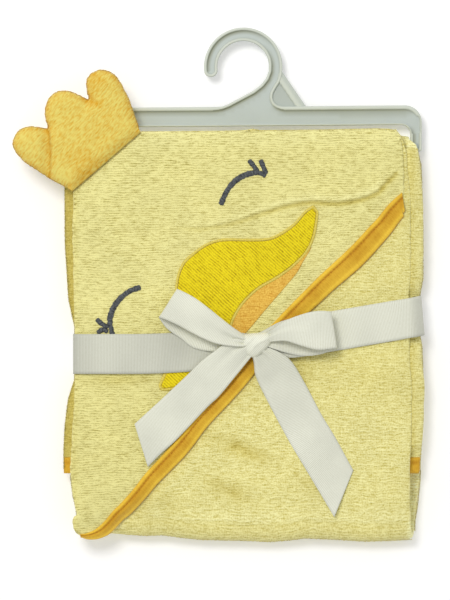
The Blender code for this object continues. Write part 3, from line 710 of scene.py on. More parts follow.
def front_painted_shading(x, y):
    """Painted light and shade on the towel's front face: 1 in the open, painted shade in hollows and
    beside the binding, painted light towards the bottom fold.
    """
    painted_shading = np.ones(np.shape(x))
    for hx, hy, wide, high, _, dark in HOLLOWS:
        patchy = 1.0 + 0.6 * noise(x, y, 6, 15) + 0.3 * noise(x, y, 2.4, 16)
        painted_shading = painted_shading - dark * hollow(x, y, hx, hy, wide, high) * patchy
    # Painted shade beside the binding's outer edge, then painted light towards the bottom.
    painted_shading = painted_shading - 0.05 * hill(beyond_hood(x, y) - 11.0, 3.5)
    open_face = smooth((x + 60.0) / 30.0)
    painted_shading = painted_shading + 0.03 * smooth((-60.0 - y) / 30.0) * open_face
    return painted_shading + 0.06 * smooth((-138.0 - y) / 18.0) * open_face


def front_top(x, y):
    """Height of the towel's front face: flat under the hood and the ribbon, loose beside them."""
    bare = smooth((beyond_hood(x, y) - 9.5) / 7.0)
    loose = 1.0 - ribbon_press(x, y)
    swell = 0.8 * loose + 0.4 * noise(x, y, 41, 1) + loose * (
        0.35 * noise(x, y, 19, 2) + 0.16 * noise(x, y, 8, 3)
    )
    for hx, hy, wide, high, deep, _ in HOLLOWS:
        swell = swell - deep * hollow(x, y, hx, hy, wide, high)
    right_fall = 1.3 * smooth((x - 110.0) / 13.0) ** 2
    return FRONT_TOP + bare * swell * (0.35 + 0.65 * loose) - right_fall - front_sag(y)


CREASE = np.array(
    [(-30, 37.8), (-22.4, 37.3), (-11.6, 36.3), (3.4, 38.7), (16.6, 42.5), (28.9, 46.7), (39.1, 49.9),
     (49.3, 52.3), (59.5, 53.6), (69.7, 52.9), (76.9, 52.8), (86.1, 54.0), (94.2, 56.3),
     (101.4, 59.6), (106.5, 65.6), (111.5, 70.4)]
)
# Strength of the crease's relief and of its painted shade and highlight, against the length along it.
CREASE_RELIEF = [(0, 0.0), (12, 0.45), (60, 0.75), (95, 1.1), (132, 1.1), (148, 0.6), (156, 0.2)]
CREASE_SHADE = [(0, 0.0), (12, 0.3), (60, 0.6), (95, 1.0), (132, 1.0), (148, 0.7), (156, 0.0)]


def hood_fall(x, y):
    """How far the hood falls away towards the bottom fold and the right side."""
    return 3.0 * smooth((-143.0 - y) / 20.0) + 2.4 * smooth((x - 94.0) / 25.0) ** 2


def hood_swell(x, y):
    """Height of the hood's face without its pile."""
    loose = 1.0 - ribbon_press(x, y, 16.0)
    z = HOOD_TOP + 0.8 * loose - 0.8 * loose * smooth((beyond_hood(x, y) + 7.0) / 6.0)
    far, side, along = nearest(x, y, CREASE)
    q = far * side
    strength = at(CREASE_RELIEF, along)
    ridge = smooth((q + 1.0) / 2.2) * np.exp(-np.maximum(q, 0.0) / 6.0)
    z = z + 1.75 * strength * ridge - 0.35 * strength * hill(q + 1.6, 1.6)
    z = z - 0.8 * (hill(np.hypot(x - 104.0, y - 62.5), 2.2) + hill(np.hypot(x - 108.4, y - 68.0), 2.4))
    z = z + loose * (0.35 * noise(x, y, 37, 11) + 0.22 * noise(x, y * 1.6, 17, 12))
    return z + 0.07 * noise(x, y, 6, 13) - hood_fall(x, y)


def hood_painted_shading(x, y):
    """Painted light and shade on the hood's face: painted shade under the crease with a painted highlight
    above it, in the dimples at its end, under the ribbon's lower edge and along the left edge; painted
    light near the top and a little painted shade towards the bottom.
    """
    far, side, along = nearest(x, y, CREASE)
    q = far * side
    strength = at(CREASE_SHADE, along)
    painted_shading = 1.0 - 0.24 * strength * hill(q + 1.3, 1.5) + 0.07 * strength * hill(q - 1.8, 2.2)
    for hx, hy, wide in ((104.0, 62.0, 2.0), (108.4, 67.6, 2.4), (112.4, 71.0, 1.6)):
        painted_shading = painted_shading - 0.12 * hill(np.hypot(x - hx, y - hy), wide)
    painted_shading = painted_shading - 0.10 * np.exp(-(((x + 62) / 16) ** 2) - ((y + 60.5) / 3.4) ** 2)
    painted_shading = painted_shading - 0.05 * smooth((5.0 - (x + 92.5)) / 5.0) * (y < 60)
    return painted_shading + 0.03 * smooth((y - 84.0) / 10.0) - 0.014 * smooth((-40.0 - y) / 25.0)


# ---------------------------------------------------------------- towel sheet

MIDDLE_LEFT = [(-121, -99.1), (-106, -99.2), (-90, -98.4), (-74, -96.4), (-66, -94.0),
               (-61, -92.3), (-27, -92.1), (-10, -96.0), (26, -98.3), (60, -98.5), (86, -98.0)]
MIDDLE_RIGHT = [(-121, 129.0), (-110, 129.5), (-97, 130.3), (-83, 131.0), (-61, 131.2),
                (-40, 130.4), (-33, 129.2), (-6, 129.2), (4, 131.0), (30, 131.1), (57, 130.5),
                (76, 129.8), (86, 127.6)]
BACK_LEFT = [(-152, -89.5), (-148, -90.3), (-142, -90.8), (-135, -92.4), (-122, -94.3),
             (-108, -95.2), (-84, -95.0), (-64, -92.2), (-57, -91.6), (-32, -91.6), (-20, -93.5),
             (0, -95), (60, -95), (74, -92), (84, -91.2)]
BACK_RIGHT = [(-152, 126.3), (-142, 127.9), (-128, 129.4), (-117, 130.0), (-98, 129.6),
              (-70, 128.6), (-44, 124.6), (2, 124.2), (20, 127.5), (60, 127.5), (74, 124),
              (84, 122.3)]
FRONT_LEFT = [(-152, -90.6), (-144, -89.8), (-135, -91.0), (-122, -93.0), (-110, -93.0),
              (-90, -92.1), (-60, -91.5), (-28, -91.5), (-18, -92.2), (20, -92.7), (59.5, -92.9),
              (97.2, -49.6), (99, -49.4)]
FRONT_RIGHT = [(-152, 123.0), (-120, 122.7), (-60, 122.9), (-34, 122.3), (-6, 122.2),
               (5, 122.9), (60, 122.4), (84, 120.4), (94, 116.8), (99, 113.0)]
FLAT_WIDTH = 660.0
IN_MIDDLE, OVER_BAR, AT_BACK, AT_BOTTOM, IN_FRONT = range(5)
# The sheet is thinner inside its hem tape, so that the tape covers it.
HEM_STARTS, HEM_THINNED = -111.0, 0.45 / 1.03


def middle_row(y, low=MIDDLE_UNDER):
    """One row of the middle level."""
    left, right = at(MIDDLE_LEFT, y), at(MIDDLE_RIGHT, y)
    return ((y, low), (y, MIDDLE_TOP), left, right, IN_MIDDLE, 0.36, 0.06)


def stack_rows():
    """The folded stack from its hem, over the bar, down the back and up the front. Each row
    has its inner and outer points (y, z), its left and right ends, its level and how much
    its outer and inner faces close together at the sides."""
    bar_inner, bar_outer = 3.2, 8.1
    rows = []
    for y in np.arange(-118.4, 87.0, 2.2):
        low = MIDDLE_UNDER + 2.7 * float(smooth((y - 66) / 18))
        rows.append(middle_row(y, low))
    for angle in np.arange(90, -91, -10):
        c, s = math.cos(math.radians(angle)), math.sin(math.radians(angle))
        shut = float(smooth((90 - angle) / 55.0))
        rows.append(
            ((BAR_Y + bar_inner * c, HANGER_Z + bar_inner * s),
             (BAR_Y + bar_outer * c, HANGER_Z + bar_outer * s),
             -97.6 + 6.6 * shut, 127.0 - 4.8 * shut, OVER_BAR, 0.2, 0.0)
        )
    for y in np.arange(86.0, -151.0, -2.4):
        low = 5.0 + 2.9 * float(smooth((86 - y) / 18)) - 1.0 * float(smooth((-132 - y) / 20))
        left, right = at(BACK_LEFT, y), at(BACK_RIGHT, y)
        rows.append(((y, low), (y, BACK_UNDER), left, right, AT_BACK, 0.2, 0.2))
    for angle in np.arange(-90, -271, -9):
        c, s = math.cos(math.radians(angle)), math.sin(math.radians(angle))
        share = (-90 - angle) / 180.0
        left = np.interp(share, [0, 0.5, 1], [-89.5, -88.6, -91.8])
        right = np.interp(share, [0, 0.5, 1], [126.3, 124.9, 122.9])
        rows.append(
            ((FOLD_Y + 4.8 * c, 10.2 + 3.2 * s), (FOLD_Y + 11.3 * c, 9.6 + 9.45 * s),
             left, right, AT_BOTTOM, 0.12, 0.05)
        )
    for y in np.arange(-150.0, 98.6, 1.8):
        low = 16.8 - 3.4 * float(smooth((-122 - y) / 30))
        high = FRONT_TOP - float(front_sag(y))
        left, right = at(FRONT_LEFT, y), at(FRONT_RIGHT, y)
        rows.append(((y, low), (y, high), left, right, IN_FRONT, 0.0, 0.0))
    return rows


TOWEL_COLUMNS = (
    [("one", f) for f in np.linspace(0, 1, 116)]
    + [("right", a) for a in np.linspace(0, math.pi, 9)[1:]]
    + [("two", f) for f in np.linspace(0, 1, 18)[1:]]
    + [("left", a) for a in np.linspace(0, math.pi, 9)[1:]]
    + [("three", f) for f in np.linspace(0, 1, 18)[1:]]
)


# Half a layer's thickness as a share of the layers' pitch, the middle third's distance from
# the left end, how far in from a side the faces close, and the cloth's left edge.
LAYER_HALF, LEFT_INSET, CLOSING_REACH, CLOTH_LEFT = 0.4, 1.2, 9.0, -92.0
INNER_GAP, LONGEST_SHARE = 6.0, 0.985


def stack_grid(rows):
    """The sheet's middle surface, row by row, with each point's cloth place and half
    thickness."""
    grid = np.zeros((len(rows), len(TOWEL_COLUMNS), 3))
    cloth = np.zeros((len(rows), len(TOWEL_COLUMNS), 2))
    half = np.zeros((len(rows), len(TOWEL_COLUMNS)))
    travelled = 0.0
    before = None
    for i, (inner, outer, left, right, _, close_out, close_in) in enumerate(rows):
        inner, outer = np.array(inner), np.array(outer)
        middle = (inner + outer) / 2
        travelled += 0.0 if before is None else float(np.linalg.norm(middle - before))
        before = middle
        pitch = float(np.linalg.norm(outer - inner)) / 3
        r = pitch / 2
        end = right - LAYER_HALF * pitch - r
        start = left + LEFT_INSET + r
        wide = right - left
        last = min(LONGEST_SHARE, (FLAT_WIDTH - 2 * wide - INNER_GAP) / wide)
        folded_at = end - CLOTH_LEFT
        for j, (kind, f) in enumerate(TOWEL_COLUMNS):
            if kind == "one":
                x, n = left + f * (end - left), 5 / 6
                s = x - CLOTH_LEFT
            elif kind == "right":
                x, n = end + r * math.sin(f), 2 / 3 + math.cos(f) / 6
                s = folded_at + r * f
            elif kind == "two":
                x, n = end - f * (end - start), 0.5
                s = folded_at + r * math.pi + end - x
            elif kind == "left":
                x, n = start - r * math.sin(f), 1 / 3 + math.cos(f) / 6
                s = folded_at + r * math.pi + end - start + r * f
            else:
                x, n = start + f * last * (end - start), 1 / 6
                s = folded_at + 2 * r * math.pi + end - 2 * start + x
            side = 1.0 - float(smooth(min(x - left, right - x) / CLOSING_REACH))
            n = n * (1 - (close_out + close_in) * side) + close_in * side
            point = inner + (outer - inner) * n
            grid[i, j] = (x, point[0], point[1])
            cloth[i, j] = (s, travelled)
            half[i, j] = LAYER_HALF * pitch
    return grid, cloth, half


def towel_sheet():
    """The one terry sheet, folded in thirds across and then over the hanger's lower bar."""
    rows = stack_rows()
    grid, cloth, half = stack_grid(rows)
    level = np.array([r[4] for r in rows])[:, None]
    x, y = grid[..., 0], grid[..., 1]
    outermost = np.array([1.0 if k == "one" else 0.0 for k, _ in TOWEL_COLUMNS])
    for j, (kind, f) in enumerate(TOWEL_COLUMNS):
        if kind == "right":
            outermost[j] = 1.0 - float(smooth(f / math.pi))
    front, middle = level == IN_FRONT, level == IN_MIDDLE
    base = FRONT_TOP - front_sag(y)
    grid[..., 2] += (front_top(x, y) - base) * outermost * front
    fold = np.array([math.exp(-(((r[0][0] - FOLD_Y) / 14) ** 2)) for r in rows])[:, None]
    grid[..., 1] += (at(BOTTOM, x) - BOTTOM_MEAN) * fold
    grid[..., 1] += at(TOP_RISE, x) * smooth((y - 84.0) / 12.0) * front
    side_fill = smooth((x - 116.5) / 6.0) * middle * outermost
    loose_side = 1.0 - ribbon_press(x, y, 10.0)
    side_fill = side_fill * (1.0 - smooth((-101.0 - y) / 7.0))
    grid[..., 2] += side_fill * (1.6 + 2.2 * loose_side)
    wavy = 0.35 * noise(x * 0 + 3.3, y, 23, 6) + 0.2 * noise(x * 0 + 7.3, y, 7, 7)
    near_right = np.array([1.0 if k == "right" else 0.0 for k, _ in TOWEL_COLUMNS])
    grid[..., 0] += wavy * (near_right + smooth((x - 100) / 20) * outermost) * (level != AT_BOTTOM)
    back = (level == AT_BACK) * outermost
    grid[..., 2] += back * np.abs(noise(x, y, 26, 8)) * 0.35
    pitch_noise = 1.0 + 0.10 * noise(x, y, 5, 9) + 0.06 * noise(x, y, 2.6, 10)
    # Painted light and shade on the sheet: painted shade on the middle level's left strip, painted light
    # on the lower levels' right strip, which the front level would shade, and painted shade beside the
    # front level's right edge and in the hollow below the right hem tab.
    strip = middle * smooth((-90.5 - x) / 2.0)
    painted_shading = np.where(front, front_painted_shading(x, y), 1.0) - 0.27 * strip
    painted_shading = painted_shading + 0.22 * ~(front | middle) * smooth((x - 119.0) / 3.0)
    painted_shading = painted_shading - 0.10 * (level <= OVER_BAR) * hill(x - 123.4, 1.6)
    painted_shading = painted_shading - 0.14 * middle * (x > 118) * hill(y + 127.0, 7.0)
    hem = np.where(middle & (y < HEM_STARTS), HEM_THINNED, 1.0)
    sheet = thick_grid(
        "towel", grid, half * pitch_noise * hem, half * hem, [TERRY_TOWEL], uv=cloth,
        values={"painted_shading": painted_shading + np.zeros_like(x)},
    )
    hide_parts("towel_sheet")
    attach(sheet, "towel")


def hem_tape():
    """The tape over the sheet's end hem, which is folded with the sheet."""
    section = [
        (-110.8, 0.56), (-110.6, 0.9), (-112.0, 1.06), (-114.0, 0.86), (-116.0, 1.02),
        (-118.6, 1.05), (-120.3, 0.8), (-121.0, 0.3), (-121.0, -0.3), (-120.3, -0.8),
        (-118.6, -1.0), (-112.0, -1.0), (-110.6, -0.9), (-110.8, -0.56), (-118.4, -0.55),
        (-119.4, 0.0), (-118.4, 0.55),
    ]
    rows = [middle_row(y) for y, _ in section]
    grid, cloth, _ = stack_grid(rows)
    base_rows = [((y, r[0][1]), (y, r[1][1]), *r[2:]) for y, r in zip((-121.0, -110.0), rows)]
    flat, _, _ = stack_grid(base_rows)
    normal = grid_normals(flat)[0]
    points = np.zeros_like(grid)
    for i, (y, off) in enumerate(section):
        points[i] = grid[i] + normal * off
        cloth[i, :, 1] = i * 1.6
    points = points.transpose(1, 0, 2)
    cloth = cloth.transpose(1, 0, 2)
    columns = len(TOWEL_COLUMNS)
    faces = tube_faces(columns, len(section))
    # Painted shade along the tape's middle crease.
    fold = np.tile(np.array([0.1 if abs(y + 114.0) < 0.1 else 0.4 for y, _ in section]), columns)
    tape = make_object(
        "hem_tape", points.reshape(-1, 3), faces, [BINDING], cloth.reshape(-1, 2), {"fold": fold}
    )
    fix_normals(tape)
    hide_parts("rear_hem_binding")
    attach(tape, "towel")


FUZZ_SPACING = 0.22
TOP_EDGE = 97.8


def packet_fuzz():
    """The towel's ragged outline, where its loops show against what lies beyond."""
    ys = np.arange(-118.0, 88.0, 1.0)
    left_low = np.column_stack([at(MIDDLE_LEFT, ys) - 0.1, ys])
    right_low = np.column_stack([at(MIDDLE_RIGHT, ys) + 0.1, ys])[::-1]
    low_ys = np.arange(-158.0, -118.0, 1.0)
    hood_left = np.array([(-90.6, -147.0), (-91.4, -141.7), (-93.1, -135.0), (-94.7, -122.0)])
    bottom = np.array(BOTTOM)[4:][::-1]
    right_back = np.column_stack([at(BACK_RIGHT, low_ys), low_ys])[::-1]
    xs = np.arange(-48.0, 113.0, 1.0)
    top = np.column_stack([xs, TOP_EDGE + at(TOP_RISE, xs)])
    front_right = np.array([(113.4, 98.0), (116.6, 94.6), (119.8, 88.0)])
    # Each fringe's name, line, heights, look, reach, and the painted shade it shares with the cloth
    # behind it.
    rows = [
        ("fuzz_left", left_low, (11.5, 15.0), TERRY_TOWEL, 0.9, 0.82),
        ("fuzz_right", right_low, (10.5, 14.5), TERRY_TOWEL, 0.8, 0.95),
        ("fuzz_bottom", bottom, (6.0, 13.0), TERRY_TOWEL, 0.6, 0.95),
        ("fuzz_right_low", right_back, (3.0, 8.0), TERRY_TOWEL, 0.8, 0.9),
        ("fuzz_hood_left", hood_left, (22.5, 24.5), TERRY_HOOD, 0.8, 0.95),
        ("fuzz_top", top, (19.0, 25.0), TERRY_TOWEL, 0.8, 0.97),
        ("fuzz_corner", front_right, (19.0, 21.5), TERRY_TOWEL, 0.7, 1.0),
    ]
    for seed, (name, line, heights, look, reach, painted_shading) in enumerate(rows):
        hairs = fuzz(name, line, heights, look, FUZZ_SPACING, reach, seed, painted_shading)
        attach(hairs, "towel")


# ---------------------------------------------------------------- hood

HOOD_ROW = 1.5
HOOD_UNDER, HOOD_LOWEST = 23.3, 23.5
EDGE_LEFT, EDGE_RIGHT = -84.0, 117.5
# The hood's outline past its open edge: the right side, the top, the seam, the left side and
# the lower corner.
HOOD_REST = [(117.9, 52.0), (118.2, 70.0), (117.6, 88.0), (116.4, 95.2), (113.4, 98.6),
             (100.0, 98.9), (60.0, 98.3), (0.0, 97.8), (-49.8, 97.5),
             (-92.9, 60.0), (-92.9, 20.0), (-92.4, -18.0), (-91.8, -28.0), (-91.8, -60.0),
             (-92.6, -82.0), (-94.2, -108.0), (-95.0, -116.0), (-94.6, -122.0), (-93.0, -135.0),
             (-91.3, -141.7), (-90.3, -146.6), (-92.6, -148.6), (-93.5, -152.0), (-93.0, -156.0),
             (-90.9, -159.4), (-86.5, -161.6)]


def hood_pile(x, y):
    """Rows of loops, 1 on a loop and 0 in a gap between rows."""
    wander = 1.0 * noise(x, y, 23, 21) + 0.3 * noise(x, y, 7, 22) + 0.12 * noise(x, y, 2.2, 25)
    rows = 0.5 + 0.5 * np.cos(2 * math.pi * (y + wander) / HOOD_ROW)
    dash = 0.62 + 0.38 * smooth(0.5 + 1.1 * noise(x, y * 2.0, 3.0, 23))
    patch = 0.72 + 0.10 * noise(x, y, 19, 26)
    tufts = 0.5 + 0.5 * noise(x, y, 1.2, 24)
    return 1.0 - dash * patch * (1.0 - rows) * (0.55 + 0.45 * tufts)


def hood_outline():
    """The hood's outline: its open edge ends inside the tape, the rest is slightly ragged."""
    line = HOOD_EDGE[::-1]
    edge = beside(line, 0.5 * at(BINDING_WIDTH, line[:, 0])[:, None])
    edge = edge[(edge[:, 0] < EDGE_RIGHT) & (line[:, 0] > EDGE_LEFT)]
    outline = even(np.vstack([edge, HOOD_REST]), 1.0, closed=True)
    x, y = outline[:, 0], outline[:, 1]
    ragged = 0.3 * noise(x, y, 1.6, 31) + 0.35 * noise(x, y, 13, 32)
    open_edge = beyond_hood(x, y) > 2.0
    return beside(outline, np.where(open_edge, 0.0, ragged)[:, None], closed=True)


def hood_panel():
    """The hood's terry, lying on the towel's front face."""
    def top(x, y, d):
        roll = 2.2 * (1.0 - rounded(d, 2.6))
        roll = np.where(beyond_hood(x, y) > 2.0, 0.3 * roll, roll)
        roll = roll * np.where((x > 114.0) | (from_seam(x, y) < 3.0), 0.35, 1.0)
        face = hood_swell(x, y) - roll - 0.30 * (1.0 - hood_pile(x, y))
        return np.maximum(face, HOOD_LOWEST - hood_fall(x, y))

    def bottom(x, y, d):
        return HOOD_UNDER - hood_fall(x, y)

    panel = slab(
        "hood", hood_outline(), (1.15, 0.34), [0.35, 0.8, 1.5], top, bottom, [TERRY_HOOD],
        low_spacing=(4.0, 4.0), values={"pile": hood_pile, "painted_shading": hood_painted_shading},
    )
    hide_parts("hood_panel")
    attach(panel, "towel")


# The binding's cross-section: places across it, on a tape 11.1 wide, and heights there. It
# runs over the tape, round its edge, back under the hood's edge and out again inside.
TAPE_ACROSS = [0.0, 0.0, 0.5, 1.6, 2.7, 3.3, 3.9, 5.0, 6.6, 8.2, 9.4, 10.4, 11.0, 11.1,
               10.6, 9.0, 4.0, 0.0, 0.0, 4.0, 9.2, 9.8, 9.2, 4.0]
TAPE_HEIGHTS = [0.25, 0.6, 0.85, 1.0, 0.8, 0.45, 0.7, 0.9, 0.95, 1.15, 1.2, 0.7, -0.5,
                -1.5, -2.1, -2.4, -2.4, -2.4, -2.1, -2.0, -1.9, -0.9, 0.12, 0.15]
SEWN_AT, SEWN_FLANGE, TAPE_REST = 3.3, 3.9, 7.2
SEWN_PITCH, SEWN_WIDTH = 2.4, 0.36


def hood_binding():
    """The folded tape along the hood's open edge, with its row of stitches."""
    line = even(HOOD_EDGE[::-1], 0.8)
    along = lengths(line)
    width = at(BINDING_WIDTH, line[:, 0])
    inner = np.minimum(SEWN_FLANGE, 0.36 * width)
    way = beside(line, 1.0) - line
    square = smooth((along[-1] - along) / 11.0)[:, None]
    way = way * square + np.array([0.15, -1.0]) * (1.0 - square)
    count, around = len(line), len(TAPE_ACROSS)
    points = np.zeros((count, around, 3))
    fold = np.zeros((count, around))
    for k, (v, lift) in enumerate(zip(TAPE_ACROSS, TAPE_HEIGHTS)):
        wide = inner * v / SEWN_FLANGE
        if v > SEWN_FLANGE:
            wide = inner + (v - SEWN_FLANGE) * (width - inner) / TAPE_REST
        wide = wide + 0.3 * noise(along, along * 0 + 2.0, 21, 41) * (v > 6) * smooth(along / 20.0)
        place = line + way * wide[:, None]
        lift = lift * (1.0 + 0.12 * noise(along, along * 0 + 5.0, 11, 44))
        pucker = 0.16 * noise(along, along * 0 + v * 0.15, 3.2, 42) * (lift > 0.3)
        stitch = 0.22 * np.cos(2 * math.pi * along / 2.9) * hill(v - SEWN_AT, 0.5) * (lift > 0)
        base = hood_swell(place[:, 0], place[:, 1])
        sunk = front_top(place[:, 0], place[:, 1]) + 1.7
        base = base + (np.minimum(base, sunk) - base) * smooth((v - 5.0) / 5.0)
        points[:, k, :2] = place
        points[:, k, 2] = base + lift + pucker + stitch
        # Painted highlights on the tape's rolled edges and along its middle, painted shade on the stitch
        # line and on the tucked-under parts.
        painted_light = 0.85 * hill(v - 1.0, 1.5) + 0.38 * hill(v - 5.6, 1.9) + 0.95 * hill(v - 9.9, 1.9)
        painted_light = painted_light - 0.35 * hill(v - SEWN_AT, 0.5)
        painted_light = painted_light + 0.16 * noise(along, along * 0 + v * 0.2, 6.0, 43)
        fold[:, k] = np.where(lift > 0, painted_light, 0.1)
    ground = front_top(points[..., 0], points[..., 1]) + 0.25
    points[..., 2] = np.maximum(points[..., 2], ground)
    uv = grid_uv(along, np.arange(around) * 1.1)
    tape = make_object(
        "binding", points.reshape(-1, 3), tube_faces(count, around), [BINDING],
        uv.reshape(-1, 2), {"fold": np.clip(fold.ravel(), 0, 1)},
    )
    fix_normals(tape)
    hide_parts("hood_binding")
    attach(tape, "towel")
    sewn = (line + way * (inner * SEWN_AT / SEWN_FLANGE)[:, None])[6:]
    stitches(
        "binding_stitches", sewn, SEWN_PITCH, SEWN_WIDTH, lambda x, y: hood_swell(x, y) + 0.68
    )


def stitches(name, line, pitch, width, height):
    """A row of short sewn threads along a line, each an arch of rings of points."""
    rings, around, gap = 6, 6, 0.35
    line = even(line, pitch)
    points, faces, uv = [], [], []
    for a, b in zip(line, line[1:]):
        way = (b - a) / np.linalg.norm(b - a)
        side = np.array([way[1], -way[0]])
        a, b = a + way * gap, b - way * gap
        faces += tube_faces(rings, around, start=len(points))
        for share in np.linspace(0, 1, rings):
            here = a + (b - a) * share
            arch = math.sin(math.pi * share)
            thick = width * (0.35 + 0.65 * arch**0.5) / 2
            z = float(height(here[0], here[1])) - 0.22 + 0.42 * arch**0.6
            for k in range(around):
                turn = 2 * math.pi * k / around
                spot = here + side * thick * math.cos(turn)
                points.append((spot[0], spot[1], z + thick * 0.8 * math.sin(turn)))
                uv.append((share * pitch, k * 0.2))
    made = make_object(name, points, faces, [STITCH], uv)
    fix_normals(made)
    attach(made, "towel")


BILL_BACK = [(60.4, 49.6), (55.0, 45.9), (48.2, 38.2), (39.6, 32.2), (31.0, 28.8), (18.1, 28.4),
             (2.7, 28.4), (-7.5, 25.4), (-16.1, 19.4), (-22.9, 12.5), (-26.4, 2.2),
             (-26.7, -9.9), (-24.7, -22.7), (-24.7, -35.5), (-28.6, -47.0), (-34.3, -57.3),
             (-37.5, -64.5)]
BILL_FRONT = [(-36.3, -66.8), (-32.4, -66.9), (-21.5, -64.9), (-11.3, -60.4), (-2.3, -49.6),
              (4.7, -36.8), (8.7, -23.5), (12.2, -16.6), (17.3, -9.8), (25.9, -2.1),
              (37.9, 4.8), (48.2, 12.5), (56.7, 21.9), (61.0, 32.2), (62.8, 43.4), (62.9, 46.4)]
LOWER_BILL = [(59.6, 24.0), (54.2, 15.0), (49.9, 7.4), (42.1, -2.1), (31.0, -14.9),
              (22.4, -25.2), (16.5, -32.0), (10.5, -38.7), (2.1, -47.0), (-7.0, -55.6)]
BILL_ROW, BILL_ANGLE = 1.57, -42.5


def turned_uv(angle):
    """Cloth coordinates for a cloth that lies at an angle."""
    return lambda p: np.stack(turned(p[:, 0], p[:, 1], angle), 1)


def bill_pile(x, y):
    """Rows of loops as on the hood, at the bill's own angle."""
    u, v = turned(x, y, BILL_ANGLE)
    wander = 0.7 * noise(u, v, 15, 51) + 0.2 * noise(u, v, 5, 52)
    rows = 0.5 + 0.5 * np.cos(2 * math.pi * (v + wander) / BILL_ROW)
    dash = 0.55 + 0.35 * smooth(0.5 + 1.1 * noise(u, v * 2.0, 2.6, 53))
    tufts = 0.5 + 0.5 * noise(x, y, 1.1, 54)
    return 1.0 - dash * (1.0 - rows) * (0.60 + 0.40 * tufts)


def trim_base(x, y):
    """Height of the hood's face, held down where the ribbon passes over the appliques."""
    return np.minimum(hood_swell(x, y), 27.6)


def applique(name, outline, spacing, height, pile, relief, look, uv=None):
    """A piece of cloth sewn on the hood: its face stands height above it, less in its pile."""
    def top(x, y, d):
        edge = rounded(d, 0.9)
        return trim_base(x, y) + 0.08 + height * (0.25 + 0.75 * edge) - relief * (1.0 - pile(x, y)) * edge

    def bottom(x, y, d):
        return trim_base(x, y) + 0.04

    return slab(
        name, outline, (spacing, spacing), [0.2, 0.5, 0.9], top, bottom, [look],
        low_spacing=(3.0, 3.0), values={"pile": pile}, uv=uv,
    )


def raised_line(name, line, width, height, base, looks, closed=False, taper=0.0, thread=0.45,
                rough=0.04):
    """A satin-stitched ridge: half round, rippled by its threads, narrowing at its ends."""
    line = even(line, thread / 3, closed)
    along = lengths(line)
    ends = np.ones(len(line))
    if taper:
        from_end = np.minimum(along, along[-1] - along)
        ends = rounded(np.maximum(from_end, 0.02 * taper), taper)
    ripple = np.cos(2 * math.pi * along / thread)
    over = np.cos(np.linspace(math.pi, 0.0, 9))
    shares = [*over, 0.7, -0.7]
    points = np.zeros((len(line), len(shares), 3))
    middle = base(line[:, 0], line[:, 1])
    for k, share in enumerate(shares):
        edge = noise(along, along * 0 + math.copysign(3.0, share), thread * 1.6, 61)
        swollen = 1 + 0.03 * ripple + 0.10 * noise(along, along * 0, 9.0, 62) + rough * edge
        wide = share * width / 2 * ends * swollen
        points[:, k, :2] = beside(line, wide[:, None], closed)
        rise = math.sqrt(max(0.0, 1 - share * share)) if k < len(over) else -0.12
        points[:, k, 2] = middle + height * rise * ends * (0.93 + 0.07 * ripple)
    faces = tube_faces(len(line), len(shares), closed=closed)
    uv = grid_uv(along, np.array(shares) * width / 2)
    made = make_object(name, points.reshape(-1, 3), faces, looks, uv.reshape(-1, 2))
    fix_normals(made)
    return made


def face_details():
    """The duck's bill and its two closed eyes."""
    outline = np.vstack([curve_through(BILL_BACK, 4), curve_through(BILL_FRONT, 4)])
    outline = even(anticlockwise(outline), 0.7, closed=True)
    inner = beside(outline, -0.9, closed=True)
    upper = applique(
        "bill_upper_cloth", inner, 0.45, 1.0, bill_pile, 0.42, BILL_YELLOW,
        uv=turned_uv(BILL_ANGLE),
    )
    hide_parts("bill_upper")
    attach(upper, "towel")
    shared = even(beside(curve_through(BILL_FRONT[3:-3], 4), 0.7), 0.7)
    lower_outline = np.vstack([shared[1:], even(curve_through(LOWER_BILL, 4), 0.7)])
    lower = applique(
        "bill_lower_cloth", lower_outline, 0.9, 0.55, lambda x, y: np.ones(np.shape(x)), 0.0,
        BILL_ORANGE,
    )
    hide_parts("bill_lower")
    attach(lower, "towel")
    edge = raised_line(
        "bill_outline", outline, 1.75, 1.0, lambda x, y: trim_base(x, y) + 0.1, [OUTLINE],
        closed=True,
    )
    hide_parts("bill_outline_stitch")
    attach(edge, "towel")
    for node, line in EYE_LINES.items():
        eye = raised_line(
            node + "_thread", curve_through(line, 6), 3.5 if "lid" in node else 3.1, 1.0,
            lambda x, y: hood_swell(x, y) + 0.05, [EYE], taper=1.0, thread=0.6, rough=0.16,
        )
        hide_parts(node)
        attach(eye, "towel")


EYE_LINES = {
    "eye_right_lid": [
        (1.4, 50.6), (4.4, 57.9), (8.5, 64.0), (13.6, 68.1), (19.7, 70.7), (24.8, 71.3),
        (30.4, 69.4),
    ],
    "eye_right_lash_outer": [(26.6, 79.6), (28.4, 75.4), (30.6, 70.4)],
    "eye_right_lash_inner": [(19.2, 79.4), (22.2, 75.8), (25.2, 71.8)],
    "eye_left_lid": [
        (-49.6, -1.6), (-57.3, -4.6), (-63.7, -10.1), (-67.9, -16.6), (-69.3, -23.8),
        (-68.3, -29.4), (-67.4, -33.6),
    ],
    "eye_left_lash_outer": [(-77.4, -31.2), (-74.0, -28.9), (-70.4, -30.2)],
    "eye_left_lash_inner": [(-78.0, -22.0), (-74.6, -25.0), (-70.2, -27.4)],
}

# ---------------------------------------------------------------- crown

